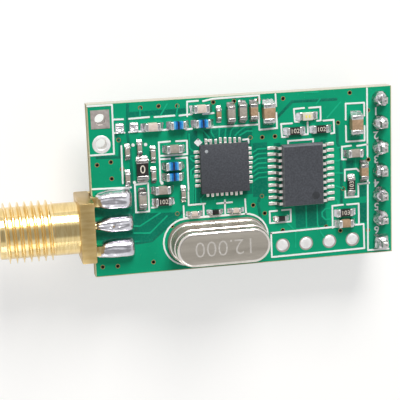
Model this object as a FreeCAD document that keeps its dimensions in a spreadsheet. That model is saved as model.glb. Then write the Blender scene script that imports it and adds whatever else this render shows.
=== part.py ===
# Wireless serial module: a green circuit board with an edge-mounted coaxial jack, a seven-pin header, a
# metal-cased crystal, two moulded chips, a light and thirty-four chip parts, as a parametric document.
# Millimetres. +Z is up, out of the component side. The board's length runs along X, with the jack at -X and the
# header at +X. The origin is under the middle of the whole module, level with the lower ends of the header pins.
# Each small part's place on the component face is given in hundredths of the board's length and width, from the
# board's lower left corner.

import FreeCAD, Part
import math
import os
import Sketcher

doc = FreeCAD.newDocument("SerialModule")
sheet = doc.addObject("Spreadsheet::Sheet", "Sizes")

# Driving dimensions: name, millimetres, meaning.
DRIVING = (
    ("board_length", 31.75, "board, along the jack's axis"),
    ("board_thickness", 1.6, "board"),
    ("pin_pitch", 2.54, "header, port row and antenna row; seven of them make the board's width"),
    ("solder_clearance", 0.02, "round solder and plating to what it surrounds"),
    ("jack_reach", 9.5, "end of the jack beyond the board's edge"),
    ("jack_height", 0.5, "jack axis above the component face"),
    ("jack_gap", 0.1, "flange to the board's edge"),
    ("flange_side", 6.1, "square flange"),
    ("flange_thickness", 1.5, "square flange"),
    ("thread_diameter", 6.15, "crest of the jack's thread"),
    ("thread_depth", 0.5, "crest to root"),
    ("thread_pitch", 0.7056, "36 turns to the inch; a crest is an eighth of it wide"),
    ("thread_start", 0.52, "plain neck in front of the thread"),
    ("barrel_diameter", 5.3, "smooth stretch between thread and flange"),
    ("neck_diameter", 5.2, "plain neck in front of the thread"),
    ("mouth_diameter", 4.6, "bore in front of the white core"),
    ("mouth_depth", 2.0, "front end to the white core"),
    ("core_diameter", 4.1, "bore that holds the white core"),
    ("lip_diameter", 3.0, "opening behind the white core"),
    ("lip_thickness", 0.5, "lip behind the white core, and the core's own web"),
    ("socket_diameter", 1.27, "centre contact inside the core"),
    ("socket_bore", 0.9, "hole in the centre contact"),
    ("socket_depth", 2.4, "hole in the centre contact"),
    ("slot_width", 0.2, "cross slots of the centre contact"),
    ("tail_diameter", 0.76, "centre contact behind the core"),
    ("tail_length", 3.1, "centre contact over the board"),
    ("leg_spread", 5.1, "between the middles of the two upper legs"),
    ("leg_width", 1.0, "ground leg"),
    ("leg_height", 0.95, "upper ground leg"),
    ("leg_length", 3.3, "ground leg over the board"),
    ("leg_gap", 0.05, "ground leg to the board's face"),
    ("strip_height", 2.0, "plastic strip of the header"),
    ("strip_width", 2.4, "plastic strip of the header"),
    ("strip_inset", 0.25, "strip's end to the board's edge"),
    ("pin_side", 0.64, "square header pin"),
    ("pin_above", 2.0, "pin tip above the component face"),
    ("pin_below", 2.6, "pin end below the plastic strip"),
    ("header_inset", 1.3, "header row to the board's right edge"),
    ("pin_hole", 1.0, "holes of the header and the port row"),
    ("header_pad", 1.7, "foot of a header solder joint"),
    ("header_joint_height", 1.15, "header solder joint"),
    ("port_pad", 1.5, "port row pad"),
    ("antenna_hole", 1.1, "open hole of an antenna pad"),
    ("antenna_pad", 1.85, "across an antenna pad"),
    ("plating", 0.07, "thickness of an antenna pad and its hole lining"),
    ("via_diameter", 0.42, "small plated holes"),
    ("crystal_length", 10.5, "crystal base plate"),
    ("crystal_width", 4.4, "crystal base plate"),
    ("crystal_plate", 0.4, "thickness of the crystal base plate"),
    ("crystal_height", 3.5, "top of the can above the board"),
    ("can_inset", 0.32, "can wall inside the base plate's edge"),
    ("collar_inset", 0.12, "can's collar inside the base plate's edge"),
    ("collar_height", 0.3, "can's collar"),
    ("can_round", 0.38, "top edge of the can, rounded by three slopes"),
    ("lead_spacing", 4.88, "crystal leads"),
    ("lead_diameter", 0.43, "crystal leads"),
    ("lead_hole", 0.75, "board holes of the crystal leads"),
    ("lead_below", 0.8, "crystal leads below the board"),
    ("transceiver_side", 5.0, "square chip"),
    ("transceiver_height", 0.87, "square chip, top above the board"),
    ("terminal_pitch", 0.5, "square chip"),
    ("terminal_width", 0.26, "square chip"),
    ("terminal_length", 0.45, "square chip"),
    ("terminal_height", 0.2, "square chip"),
    ("controller_length", 6.5, "oblong chip, along the board's width"),
    ("controller_width", 4.4, "oblong chip, body without leads"),
    ("controller_height", 1.1, "oblong chip, top above the board"),
    ("controller_standoff", 0.1, "oblong chip, underside above the board"),
    ("controller_span", 6.4, "oblong chip, over the lead tips"),
    ("controller_draft", 7.0, "slope of its moulded sides in degrees"),
    ("lead_pitch", 0.65, "oblong chip"),
    ("lead_width", 0.24, "oblong chip"),
    ("lead_thickness", 0.15, "oblong chip"),
    ("lead_foot", 0.6, "oblong chip, flat part of a lead on the board"),
    ("small_length", 1.0, "smallest chip parts"),
    ("small_width", 0.52, "smallest chip parts"),
    ("medium_length", 1.6, "most chip parts"),
    ("medium_width", 0.82, "most chip parts"),
    ("large_length", 2.0, "largest chip parts"),
    ("large_width", 1.25, "largest chip parts"),
    ("resistor_height", 0.45, "chip resistors and the light's base"),
    ("small_height", 0.5, "smallest capacitors"),
    ("medium_height", 0.8, "most capacitors and the inductors"),
    ("large_height", 1.0, "largest capacitors"),
    ("cap_share", 0.22, "metal end of a chip part, as a share of its length"),
    ("cap_proud", 0.03, "metal end of a chip part beyond its ceramic"),
    ("toe_length", 0.32, "solder beyond the end of a chip part"),
    ("toe_share", 0.6, "height of that solder, as a share of the chip part's height"),
    ("toe_edge", 0.05, "thickness of a solder edge"),
    ("lens_length", 1.05, "light, clear block"),
    ("lens_height", 0.32, "light, clear block"),
)


class Size:
    """A length that carries the formula a property is bound to and its value as the sheet stands now."""

    def __init__(self, formula, value):
        self.formula = formula
        self.value = value

    def __add__(self, other):
        other = size(other)
        return Size(f"({self.formula} + {other.formula})", self.value + other.value)

    def __sub__(self, other):
        other = size(other)
        return Size(f"({self.formula} - {other.formula})", self.value - other.value)

    def __mul__(self, other):
        other = size(other)
        return Size(f"({self.formula} * {other.formula})", self.value * other.value)

    def __truediv__(self, other):
        other = size(other)
        return Size(f"({self.formula} / {other.formula})", self.value / other.value)

    def __neg__(self):
        return Size(f"(0 - {self.formula})", -self.value)

    def __radd__(self, other):
        return size(other) + self

    def __rsub__(self, other):
        return size(other) - self

    def __rmul__(self, other):
        return size(other) * self


def size(length):
    """A size from a sheet alias, from a plain number, or unchanged."""
    if isinstance(length, Size):
        return length
    if isinstance(length, str):
        return Size(f"{sheet.Name}.{length}", float(sheet.get(length)))
    return Size(f"{length}", float(length))


for row, (alias, millimetres, meaning) in enumerate(DRIVING, start=1):
    sheet.set(f"A{row}", alias)
    sheet.set(f"B{row}", str(millimetres))
    sheet.set(f"C{row}", meaning)
    sheet.setAlias(f"B{row}", alias)
doc.recompute()

# Working sizes, all from the sheet.
HEADER_PINS = 7
PORT_PINS = 4
THREAD_TURNS = 7
PIN_PITCH = size("pin_pitch")
BOARD_LENGTH = size("board_length")
BOARD_WIDTH = PIN_PITCH * HEADER_PINS
BOARD_THICKNESS = size("board_thickness")
CLEARANCE = size("solder_clearance")
BOARD_LEFT = (size("jack_reach") - BOARD_LENGTH) / 2
BOARD_FRONT = -BOARD_WIDTH / 2
FACE_HEIGHT = BOARD_THICKNESS + size("strip_height") + size("pin_below")
NONE = size(0)
QUARTER_TURN = FreeCAD.Rotation(FreeCAD.Vector(0, 0, 1), 90)
STRAIGHT = FreeCAD.Rotation()
JOINT_SIDES = 8
HOLE_SIDES = 8
PAD_SIDES = 16
VIA_SIDES = 6

# A hundredth of the board's length and of its width, in which all places on the board are given.
ACROSS = BOARD_LENGTH / 100
UP = BOARD_WIDTH / 100
JACK_UP = UP * 30.934
JACK_SOLDER_WIDTH = size("leg_width") * 1.85
JACK_SOLDER_TOP = JACK_UP + (size("leg_spread") + JACK_SOLDER_WIDTH) / 2

# Where the jack's solder ended when the places were read: the small parts above it share what is left.
READ_SOLDER_REACH = 13.54
READ_SOLDER_TOP = 50.48

subparts = []


def on_board(x, y):
    """A place on the component face, from hundredths of the board's length and width."""
    if x < READ_SOLDER_REACH and y > READ_SOLDER_TOP:
        share = (BOARD_WIDTH - JACK_SOLDER_TOP) / (100 - READ_SOLDER_TOP)
        return BOARD_LEFT + ACROSS * x, BOARD_FRONT + BOARD_WIDTH - share * (100 - y)
    return BOARD_LEFT + ACROSS * x, BOARD_FRONT + UP * y


def bind(target, path, length):
    target.setExpression(path, size(length).formula)


def place(target, x, y, z, turn=STRAIGHT):
    """Puts an object at x, y, z, turned about its own origin."""
    target.Placement = FreeCAD.Placement(FreeCAD.Vector(0, 0, 0), turn)
    bind(target, "Placement.Base.x", x)
    bind(target, "Placement.Base.y", y)
    bind(target, "Placement.Base.z", z)


def subpart(target, label, x, y, z, turn=STRAIGHT):
    """Names an object as one sub-part of the module and places it."""
    target.Label = label
    place(target, x, y, z, turn)
    subparts.append(target)
    return target


def box(name, length, width, height, x=NONE, y=NONE, z=NONE):
    """A block whose own corner with the smallest coordinates is at x, y, z."""
    block = doc.addObject("Part::Box", name)
    bind(block, "Length", length)
    bind(block, "Width", width)
    bind(block, "Height", height)
    place(block, x, y, z)
    return block


def middle_box(name, length, width, height, x=NONE, y=NONE, z=NONE):
    """A block centred on x and y that stands on z."""
    return box(name, length, width, height, x - size(length) / 2, y - size(width) / 2, z)


def prism(name, sides, radius, height, x=NONE, y=NONE, z=NONE):
    """A post with flat sides, for the many small round things; the radius is to the middle of a side."""
    post = doc.addObject("Part::Prism", name)
    post.Polygon = sides
    bind(post, "Circumradius", size(radius) / math.cos(math.pi / sides))
    bind(post, "Height", height)
    place(post, x, y, z)
    return post


def lofted(name, sides, sections):
    """A lump through level outlines with flat sides, each given by its radius and its height."""
    outlines = []
    for number, (radius, height) in enumerate(sections, start=1):
        edge = doc.addObject("Part::RegularPolygon", f"{name}_section_{number}")
        edge.Polygon = sides
        bind(edge, "Circumradius", size(radius) / math.cos(math.pi / sides))
        place(edge, NONE, NONE, height, FreeCAD.Rotation(FreeCAD.Vector(0, 0, 1), 180 / sides))
        outlines.append(edge)
    lump = doc.addObject("Part::Loft", name)
    lump.Sections = outlines
    lump.Solid = True
    lump.Ruled = True
    return lump


def fuse(name, shapes):
    joined = doc.addObject("Part::MultiFuse", name)
    joined.Shapes = shapes
    joined.Refine = True
    return joined


def cut(name, base, tool):
    left = doc.addObject("Part::Cut", name)
    left.Base = base
    left.Tool = tool
    return left


def group(name, shapes):
    """Separate solids that make one sub-part."""
    together = doc.addObject("Part::Compound", name)
    together.Links = shapes
    return together


def new_body(name):
    return doc.addObject("PartDesign::Body", name)


def origin_feature(body, role):
    return next(feature for feature in body.Origin.OriginFeatures if feature.Role == role)


def new_sketch(body, role, name, lift=NONE):
    """A sketch on one of the body's own origin planes, moved along the plane's normal."""
    sketch = body.newObject("Sketcher::SketchObject", name)
    sketch.AttachmentSupport = [(origin_feature(body, role), "")]
    sketch.MapMode = "FlatFace"
    bind(sketch, "AttachmentOffset.Base.z", lift)
    return sketch


def tie(sketch, edge, end, x, y):
    """Fixes one point of a sketch at x, y from the sketch's origin."""
    for kind, length in (("DistanceX", size(x)), ("DistanceY", size(y))):
        index = sketch.addConstraint(Sketcher.Constraint(kind, -1, 1, edge, end, length.value))
        sketch.setExpression(f"Constraints[{index}]", length.formula)


def outline(sketch, points):
    """A closed run of straight edges through the points."""
    corners = [FreeCAD.Vector(size(x).value, size(y).value, 0) for x, y in points]
    first = sketch.GeometryCount
    count = len(points)
    for i in range(count):
        sketch.addGeometry(Part.LineSegment(corners[i], corners[(i + 1) % count]), False)
    for i in range(count):
        sketch.addConstraint(Sketcher.Constraint("Coincident", first + i, 2, first + (i + 1) % count, 1))
    for i, (x, y) in enumerate(points):
        tie(sketch, first + i, 1, x, y)


def rectangle(sketch, x, y, length, width):
    """A rectangle centred on x, y."""
    x, y, half_length, half_width = size(x), size(y), size(length) / 2, size(width) / 2
    outline(sketch, (
        (x - half_length, y - half_width),
        (x + half_length, y - half_width),
        (x + half_length, y + half_width),
        (x - half_length, y + half_width),
    ))


def stadium(sketch, length, width):
    """A long shape with round ends, centred on the sketch's origin."""
    radius = size(width) / 2
    reach = size(length) / 2 - radius
    r, a = radius.value, reach.value
    normal = FreeCAD.Vector(0, 0, 1)
    quarter = 1.5707963267948966
    right = sketch.addGeometry(
        Part.ArcOfCircle(Part.Circle(FreeCAD.Vector(a, 0, 0), normal, r), -quarter, quarter), False)
    top = sketch.addGeometry(Part.LineSegment(FreeCAD.Vector(a, r, 0), FreeCAD.Vector(-a, r, 0)), False)
    left = sketch.addGeometry(
        Part.ArcOfCircle(Part.Circle(FreeCAD.Vector(-a, 0, 0), normal, r), quarter, 3 * quarter), False)
    bottom = sketch.addGeometry(Part.LineSegment(FreeCAD.Vector(-a, -r, 0), FreeCAD.Vector(a, -r, 0)), False)
    for one, other in ((right, top), (top, left), (left, bottom), (bottom, right)):
        sketch.addConstraint(Sketcher.Constraint("Tangent", one, 2, other, 1))
    tie(sketch, right, 3, reach, NONE)
    tie(sketch, left, 3, -reach, NONE)
    for arc in (right, left):
        index = sketch.addConstraint(Sketcher.Constraint("Radius", arc, r))
        sketch.setExpression(f"Constraints[{index}]", radius.formula)


def pad(body, sketch, length, backwards=False, taper=None):
    """Material along the sketch's normal, or against it; a taper narrows it on the way."""
    feature = body.newObject("PartDesign::Pad", f"{sketch.Name}_pad")
    feature.Profile = sketch
    bind(feature, "Length", length)
    feature.Reversed = backwards
    if taper is not None:
        bind(feature, "TaperAngle", taper)
    return feature


def pocket_through(body, sketch):
    """Holes right through the body from the sketch's plane, both ways."""
    feature = body.newObject("PartDesign::Pocket", f"{sketch.Name}_pocket")
    feature.Profile = sketch
    feature.Type = "ThroughAll"
    feature.Midplane = True
    return feature


def pocket(body, sketch, depth, backwards=False):
    feature = body.newObject("PartDesign::Pocket", f"{sketch.Name}_pocket")
    feature.Profile = sketch
    bind(feature, "Length", depth)
    feature.Reversed = backwards
    return feature


def turned(body, sketch, kind="PartDesign::Revolution"):
    """Material, or a groove, made by a full turn of the sketch about its horizontal axis."""
    feature = body.newObject(kind, f"{sketch.Name}_turn")
    feature.Profile = sketch
    feature.ReferenceAxis = (sketch, ["H_Axis"])
    feature.Angle = 360
    return feature


def row(body, feature, role, pitch, count):
    """Repeats a feature along one of the body's axes."""
    pattern = body.newObject("PartDesign::LinearPattern", f"{feature.Name}_row")
    pattern.Originals = [feature]
    pattern.Direction = (origin_feature(body, role), [""])
    pattern.Mode = "Spacing"
    bind(pattern, "Offset", pitch)
    pattern.Occurrences = count
    body.Tip = pattern
    return pattern


def edges_at(feature, height):
    """Names of a feature's edges that lie level at one height."""
    names = []
    for number, edge in enumerate(feature.Shape.Edges, start=1):
        bounds = edge.BoundBox
        if abs(bounds.ZMin - height) < 1e-4 and abs(bounds.ZMax - height) < 1e-4:
            names.append(f"Edge{number}")
    return names


def sloped_edges(body, name, feature, heights, reach):
    """Cuts the level edges of a feature at the given heights back by a slope."""
    doc.recompute()
    slope = body.newObject("PartDesign::Chamfer", name)
    slope.Base = (feature, [edge for height in heights for edge in edges_at(feature, height.value)])
    bind(slope, "Size", reach)
    return slope


# Places on the board: the header row, the port row, the antenna row and the large parts.
HEADER_X = BOARD_LENGTH - size("header_inset")
HEADER_Y = [BOARD_WIDTH / 2 + PIN_PITCH * (3 - pin) for pin in range(HEADER_PINS)]
PORT_X = ACROSS * 62.205
PORT_Y = UP * 9.561
ANTENNA_X = ACROSS * 4.094
ANTENNA_Y = UP * 91.395
CRYSTAL_X = ACROSS * 40.315
CRYSTAL_Y = UP * 16.142
TRANSCEIVER = on_board(43.15, 59.06)
CONTROLLER = on_board(68.98, 51.74)
LIGHT = (71.18, 85.49)

# Small plated holes.
VIAS = (
    (17.01, 96.46), (22.83, 96.74), (28.82, 96.18), (40.47, 97.02), (47.24, 96.74), (55.43, 96.74),
    (63.46, 96.46), (85.83, 97.3), (91.97, 86.33), (81.73, 80.15), (9.61, 79.02), (52.28, 75.08),
    (56.22, 74.8), (60.47, 74.8), (2.36, 65.52), (6.77, 66.65), (10.24, 62.15), (6.77, 57.09),
    (91.97, 57.09), (83.15, 40.78), (55.59, 40.21), (52.6, 35.15), (27.4, 33.75), (56.38, 29.81),
    (25.51, 26.72), (77.17, 18.56), (62.36, 18.56), (82.05, 15.47), (91.65, 14.34), (18.9, 6.19),
    (7.24, 5.62), (2.36, 5.91),
)


def make_board():
    """The laminate with all its holes; its own origin is its lower left corner on the component face."""
    body = new_body("laminate")
    sheet_outline = new_sketch(body, "XY_Plane", "board_outline")
    rectangle(sheet_outline, BOARD_LENGTH / 2, BOARD_WIDTH / 2, BOARD_LENGTH, BOARD_WIDTH)
    pad(body, sheet_outline, BOARD_THICKNESS, backwards=True)
    pin_hole = size("pin_hole") / 2
    antenna_hole = size("antenna_hole") / 2 + size("plating") + CLEARANCE
    drilled = [("header", HEADER_X, y, pin_hole, HOLE_SIDES) for y in HEADER_Y]
    drilled += [("port", PORT_X + PIN_PITCH * pin, PORT_Y, pin_hole, HOLE_SIDES) for pin in range(PORT_PINS)]
    drilled += [("antenna", ANTENNA_X, ANTENNA_Y - PIN_PITCH * pin, antenna_hole, PAD_SIDES) for pin in range(2)]
    for side in (-1, 1):
        along = CRYSTAL_X + size("lead_spacing") * side / 2
        drilled.append(("lead", along, CRYSTAL_Y, size("lead_hole") / 2, JOINT_SIDES))
    drilled += [("via", ACROSS * x, UP * y, size("via_diameter") / 2, VIA_SIDES) for x, y in VIAS]
    through = BOARD_THICKNESS * 2
    holes = [
        prism(f"{kind}_hole_{number}", sides, radius, through, x, y, -through * 0.75)
        for number, (kind, x, y, radius, sides) in enumerate(drilled, start=1)
    ]
    board = cut("board", body, group("board_holes", holes))
    subpart(board, "board", BOARD_LEFT, BOARD_FRONT, FACE_HEIGHT)


def make_antenna_pads():
    """Two tinned pads with lined open holes; each is a plate above, a plate below and the tube between."""
    across = size("antenna_pad")
    plating = size("plating")
    through = BOARD_THICKNESS + plating * 2
    for name, pin in (("antenna_pad_square", 0), ("antenna_pad_round", 1)):
        lower = prism(f"{name}_lower", PAD_SIDES, across / 2, plating, z=-BOARD_THICKNESS - plating)
        lining = prism(f"{name}_lining", PAD_SIDES, size("antenna_hole") / 2 + plating, through,
                       z=-BOARD_THICKNESS - plating)
        if pin == 0:
            upper = middle_box(f"{name}_upper", across, across, plating)
        else:
            upper = prism(f"{name}_upper", PAD_SIDES, across / 2, plating)
        solid = fuse(f"{name}_solid", [lower, lining, upper])
        hole = prism(f"{name}_hole", PAD_SIDES, size("antenna_hole") / 2, through * 2, z=-through * 1.5)
        piece = cut(name, solid, hole)
        subpart(piece, name, BOARD_LEFT + ANTENNA_X, BOARD_FRONT + ANTENNA_Y - PIN_PITCH * pin, FACE_HEIGHT)


def make_port_joints():
    """Four holes filled with solder: a plug through the board, and a disc on a thin pad above and below."""
    rim = size("port_pad") / 2
    plug = size("pin_hole") / 2 - CLEARANCE
    edge = size("toe_edge")
    joints = []
    for pin in range(PORT_PINS):
        name = f"port_joint_{pin + 1}"
        layers = [prism(f"{name}_plug", HOLE_SIDES, plug, BOARD_THICKNESS, z=-BOARD_THICKNESS)]
        for word, radius, thickness in (("pad", rim, edge), ("disc", rim * 0.8, edge * 3)):
            layers.append(prism(f"{name}_upper_{word}", JOINT_SIDES, radius, thickness))
            layers.append(prism(f"{name}_lower_{word}", JOINT_SIDES, radius, thickness,
                                z=-BOARD_THICKNESS - thickness))
        joint = fuse(name, layers)
        place(joint, PIN_PITCH * pin, NONE, NONE)
        joints.append(joint)
    joints = group("port_joints", joints)
    subpart(joints, "port_joints", BOARD_LEFT + PORT_X, BOARD_FRONT + PORT_Y, FACE_HEIGHT)


def jack_place():
    return BOARD_LEFT, BOARD_FRONT + JACK_UP, FACE_HEIGHT + size("jack_height")


def make_jack_shell():
    """Shell of the coaxial jack; its own origin is on its axis at the board's edge, and -X is its open end."""
    body = new_body("jack_shell")
    front = -size("jack_reach")
    back = -size("jack_gap")
    flange_front = back - size("flange_thickness")
    thread_front = front + size("thread_start")
    pitch = size("thread_pitch")
    thread_back = thread_front + pitch * THREAD_TURNS
    thread = size("thread_diameter") / 2
    root = thread - size("thread_depth")
    neck = size("neck_diameter") / 2
    bevel = size("toe_edge") * 3
    barrel = size("barrel_diameter") / 2
    rings = []
    for turn in range(THREAD_TURNS):
        foot = thread_front + pitch * turn
        crest = foot + pitch / 2
        rings += [(foot, root), (crest - pitch / 16, thread), (crest + pitch / 16, thread)]
    profile = new_sketch(body, "XY_Plane", "jack_profile")
    outline(profile, [
        (front, NONE),
        (front, neck - bevel),
        (front + bevel, neck),
        (thread_front, neck),
        *rings,
        (thread_back, root),
        (thread_back, barrel),
        (flange_front, barrel),
        (flange_front, NONE),
    ])
    turned(body, profile)
    flange = new_sketch(body, "YZ_Plane", "jack_flange", back)
    rectangle(flange, NONE, NONE, size("flange_side"), size("flange_side"))
    pad(body, flange, size("flange_thickness"), backwards=True)
    legs = new_sketch(body, "YZ_Plane", "jack_legs", back)
    face = -size("jack_height")
    gap = size("leg_gap")
    upper_height = size("leg_height")
    lower_top = face - BOARD_THICKNESS - gap
    lower_height = lower_top + size("flange_side") / 2
    for side in (-1, 1):
        middle = size("leg_spread") * side / 2
        rectangle(legs, middle, face + gap + upper_height / 2, size("leg_width"), upper_height)
        rectangle(legs, middle, lower_top - lower_height / 2, size("leg_width"), lower_height)
    pad(body, legs, size("leg_length") - back)
    bore = new_sketch(body, "XY_Plane", "jack_bore")
    core_front = front + size("mouth_depth")
    core_back = back - size("lip_thickness")
    outline(bore, (
        (front - 1, NONE),
        (front - 1, size("mouth_diameter") / 2),
        (core_front, size("mouth_diameter") / 2),
        (core_front, size("core_diameter") / 2),
        (core_back, size("core_diameter") / 2),
        (core_back, size("lip_diameter") / 2),
        (back + 1, size("lip_diameter") / 2),
        (back + 1, NONE),
    ))
    turned(body, bore, "PartDesign::Groove")
    subpart(body, "jack_shell", *jack_place())


def make_jack_core():
    """White core and centre contact; each rests against a step of what holds it."""
    front = -size("jack_reach") + size("mouth_depth")
    back = -size("jack_gap") - size("lip_thickness")
    web = size("lip_thickness")
    tail = size("tail_diameter") / 2
    socket = size("socket_diameter") / 2
    insulator = new_body("jack_insulator")
    profile = new_sketch(insulator, "XY_Plane", "insulator_profile")
    outline(profile, (
        (front, socket + CLEARANCE),
        (front, size("core_diameter") / 2 - CLEARANCE),
        (back, size("core_diameter") / 2 - CLEARANCE),
        (back, tail + CLEARANCE),
        (back - web, tail + CLEARANCE),
        (back - web, socket + CLEARANCE),
    ))
    turned(insulator, profile)
    subpart(insulator, "jack_insulator", *jack_place())
    contact = new_body("jack_contact")
    shape = new_sketch(contact, "XY_Plane", "contact_profile")
    outline(shape, (
        (front, size("socket_bore") / 2),
        (front, socket),
        (back - web, socket),
        (back - web, tail),
        (size("tail_length"), tail),
        (size("tail_length"), NONE),
        (front + size("socket_depth"), NONE),
        (front + size("socket_depth") - 0.2, size("socket_bore") / 2),
    ))
    turned(contact, shape)
    slots = new_sketch(contact, "YZ_Plane", "contact_slots", front)
    rectangle(slots, NONE, NONE, size("socket_diameter") + 0.2, size("slot_width"))
    pocket(contact, slots, size("socket_depth") * 0.7, backwards=True)
    cross_slots = new_sketch(contact, "YZ_Plane", "contact_cross_slots", front)
    rectangle(cross_slots, NONE, NONE, size("slot_width"), size("socket_diameter") + 0.2)
    pocket(contact, cross_slots, size("socket_depth") * 0.7, backwards=True)
    subpart(contact, "jack_contact", *jack_place())


def pillow(name, start, length, width, height, below=False):
    """A long lump of solder with rounded edges, from start along +X, on the board's face or under it."""
    body = new_body(name)
    foot = new_sketch(body, "XY_Plane", f"{name}_foot")
    rectangle(foot, size(start) + size(length) / 2, NONE, length, width)
    lump = pad(body, foot, height, backwards=below)
    doc.recompute()
    rounded = body.newObject("PartDesign::Fillet", f"{name}_round")
    top = size(height).value * (-1 if below else 1)
    rounded.Base = (lump, edges_at(lump, top))
    bind(rounded, "Radius", size(height) * 0.45)
    return body


def make_jack_joints():
    """Solder over the upper legs, over the centre pin, and around the lower legs."""
    start = size("leg_width") * 0.3
    length = size("leg_length") + 0.6 - start
    gap = size("leg_gap")
    upper = gap + size("leg_height")
    x, y, axis = jack_place()
    leg = size("leg_width")
    for name, side in (("jack_joint_upper", 1), ("jack_joint_lower", -1)):
        lump = pillow(f"{name}_lump", start, length, JACK_SOLDER_WIDTH, upper + 0.3)
        space = box(f"{name}_leg", size("leg_length") + 1, leg, upper, -1, -leg / 2, NONE)
        joint = cut(name, lump, space)
        subpart(joint, name, x, y + size("leg_spread") * side / 2, FACE_HEIGHT)
    tail = size("tail_diameter") / 2 + CLEARANCE
    lump = pillow("jack_joint_contact_lump", start, size("tail_length") + 0.75 - start, leg * 1.6,
                  size("jack_height") + tail + 0.2)
    pin = prism("jack_joint_contact_pin", JOINT_SIDES, tail, size("tail_length") + 1, x=-1, z=size("jack_height"))
    pin.Placement.Rotation = FreeCAD.Rotation(FreeCAD.Vector(0, 1, 0), 90)
    joint = cut("jack_joint_contact", lump, pin)
    subpart(joint, "jack_joint_contact", x, y, FACE_HEIGHT)
    backs = []
    for word, side in (("upper", 1), ("lower", -1)):
        name = f"jack_back_{word}"
        lump = pillow(f"{name}_lump", start, length, JACK_SOLDER_WIDTH, size("leg_height") * 0.75, below=True)
        space = box(f"{name}_leg", size("leg_length") + 1, leg, size("leg_height") * 2, -1, -leg / 2,
                    -size("leg_height") * 2)
        solder = cut(name, lump, space)
        place(solder, NONE, size("leg_spread") * side / 2, NONE)
        backs.append(solder)
    subpart(group("jack_joints_back", backs), "jack_joints_back", x, y, FACE_HEIGHT - BOARD_THICKNESS)


def make_header():
    """Plastic strip under the board, seven square pins through both, and the solder on the component side."""
    x = BOARD_LEFT + HEADER_X
    side = size("pin_side")
    under = FACE_HEIGHT - BOARD_THICKNESS
    strip_length = BOARD_WIDTH - size("strip_inset") * 2
    pins = []
    joints = []
    body = new_body("header_strip")
    foot = new_sketch(body, "XY_Plane", "strip_outline")
    rectangle(foot, NONE, NONE, size("strip_width"), strip_length)
    pad(body, foot, size("strip_height"), backwards=True)
    notches = new_sketch(body, "XY_Plane", "strip_notches")
    notch = size("strip_width") * 0.12
    for gap in range(HEADER_PINS - 1):
        y = PIN_PITCH * (gap + 0.5 - (HEADER_PINS - 1) / 2)
        for edge in (-1, 1):
            outer = size("strip_width") * edge / 2
            outline(notches, (
                (outer + size(0.1) * edge, y - notch - 0.1),
                (outer + size(0.1) * edge, y + notch + 0.1),
                (outer - notch * edge, y),
            ))
    pocket_through(body, notches)
    holes = new_sketch(body, "XY_Plane", "strip_holes")
    for pin in range(HEADER_PINS):
        rectangle(holes, NONE, PIN_PITCH * (pin - (HEADER_PINS - 1) / 2), side, side)
    pocket_through(body, holes)
    subpart(body, "header_strip", x, NONE, under)
    for pin in range(HEADER_PINS):
        y = PIN_PITCH * ((HEADER_PINS - 1) / 2 - pin)
        number = pin + 1
        pins.append(middle_box(f"pin_{number}", side, side, FACE_HEIGHT + size("pin_above"), NONE, y, NONE))
        foot_radius = size("header_pad") / 2
        height = size("header_joint_height")
        cone = lofted(f"joint_{number}_cone", JOINT_SIDES if number < HEADER_PINS else 4, (
            (foot_radius, NONE),
            (foot_radius * 0.75, height * 0.5),
            (side * 0.76, height),
        ))
        space = middle_box(f"joint_{number}_pin", side, side, height + 1, z=-0.5)
        joint = cut(f"joint_{number}", cone, space)
        place(joint, NONE, y, NONE)
        joints.append(joint)
    subpart(group("header_pins", pins), "header_pins", x, NONE, NONE)
    subpart(group("header_joints", joints), "header_joints", x, NONE, FACE_HEIGHT)


def wedge(name, length, width, height, top_start, top_end, top_width):
    """A block standing on z = 0 whose top face is narrower than its foot; the foot starts at x = 0."""
    block = doc.addObject("Part::Wedge", name)
    for path, value in (
        ("Xmin", NONE), ("Xmax", length), ("X2min", top_start), ("X2max", top_end),
        ("Ymin", NONE), ("Ymax", height),
        ("Zmin", -size(width) / 2), ("Zmax", size(width) / 2),
        ("Z2min", -size(top_width) / 2), ("Z2max", size(top_width) / 2),
    ):
        bind(block, path, value)
    return block


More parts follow.
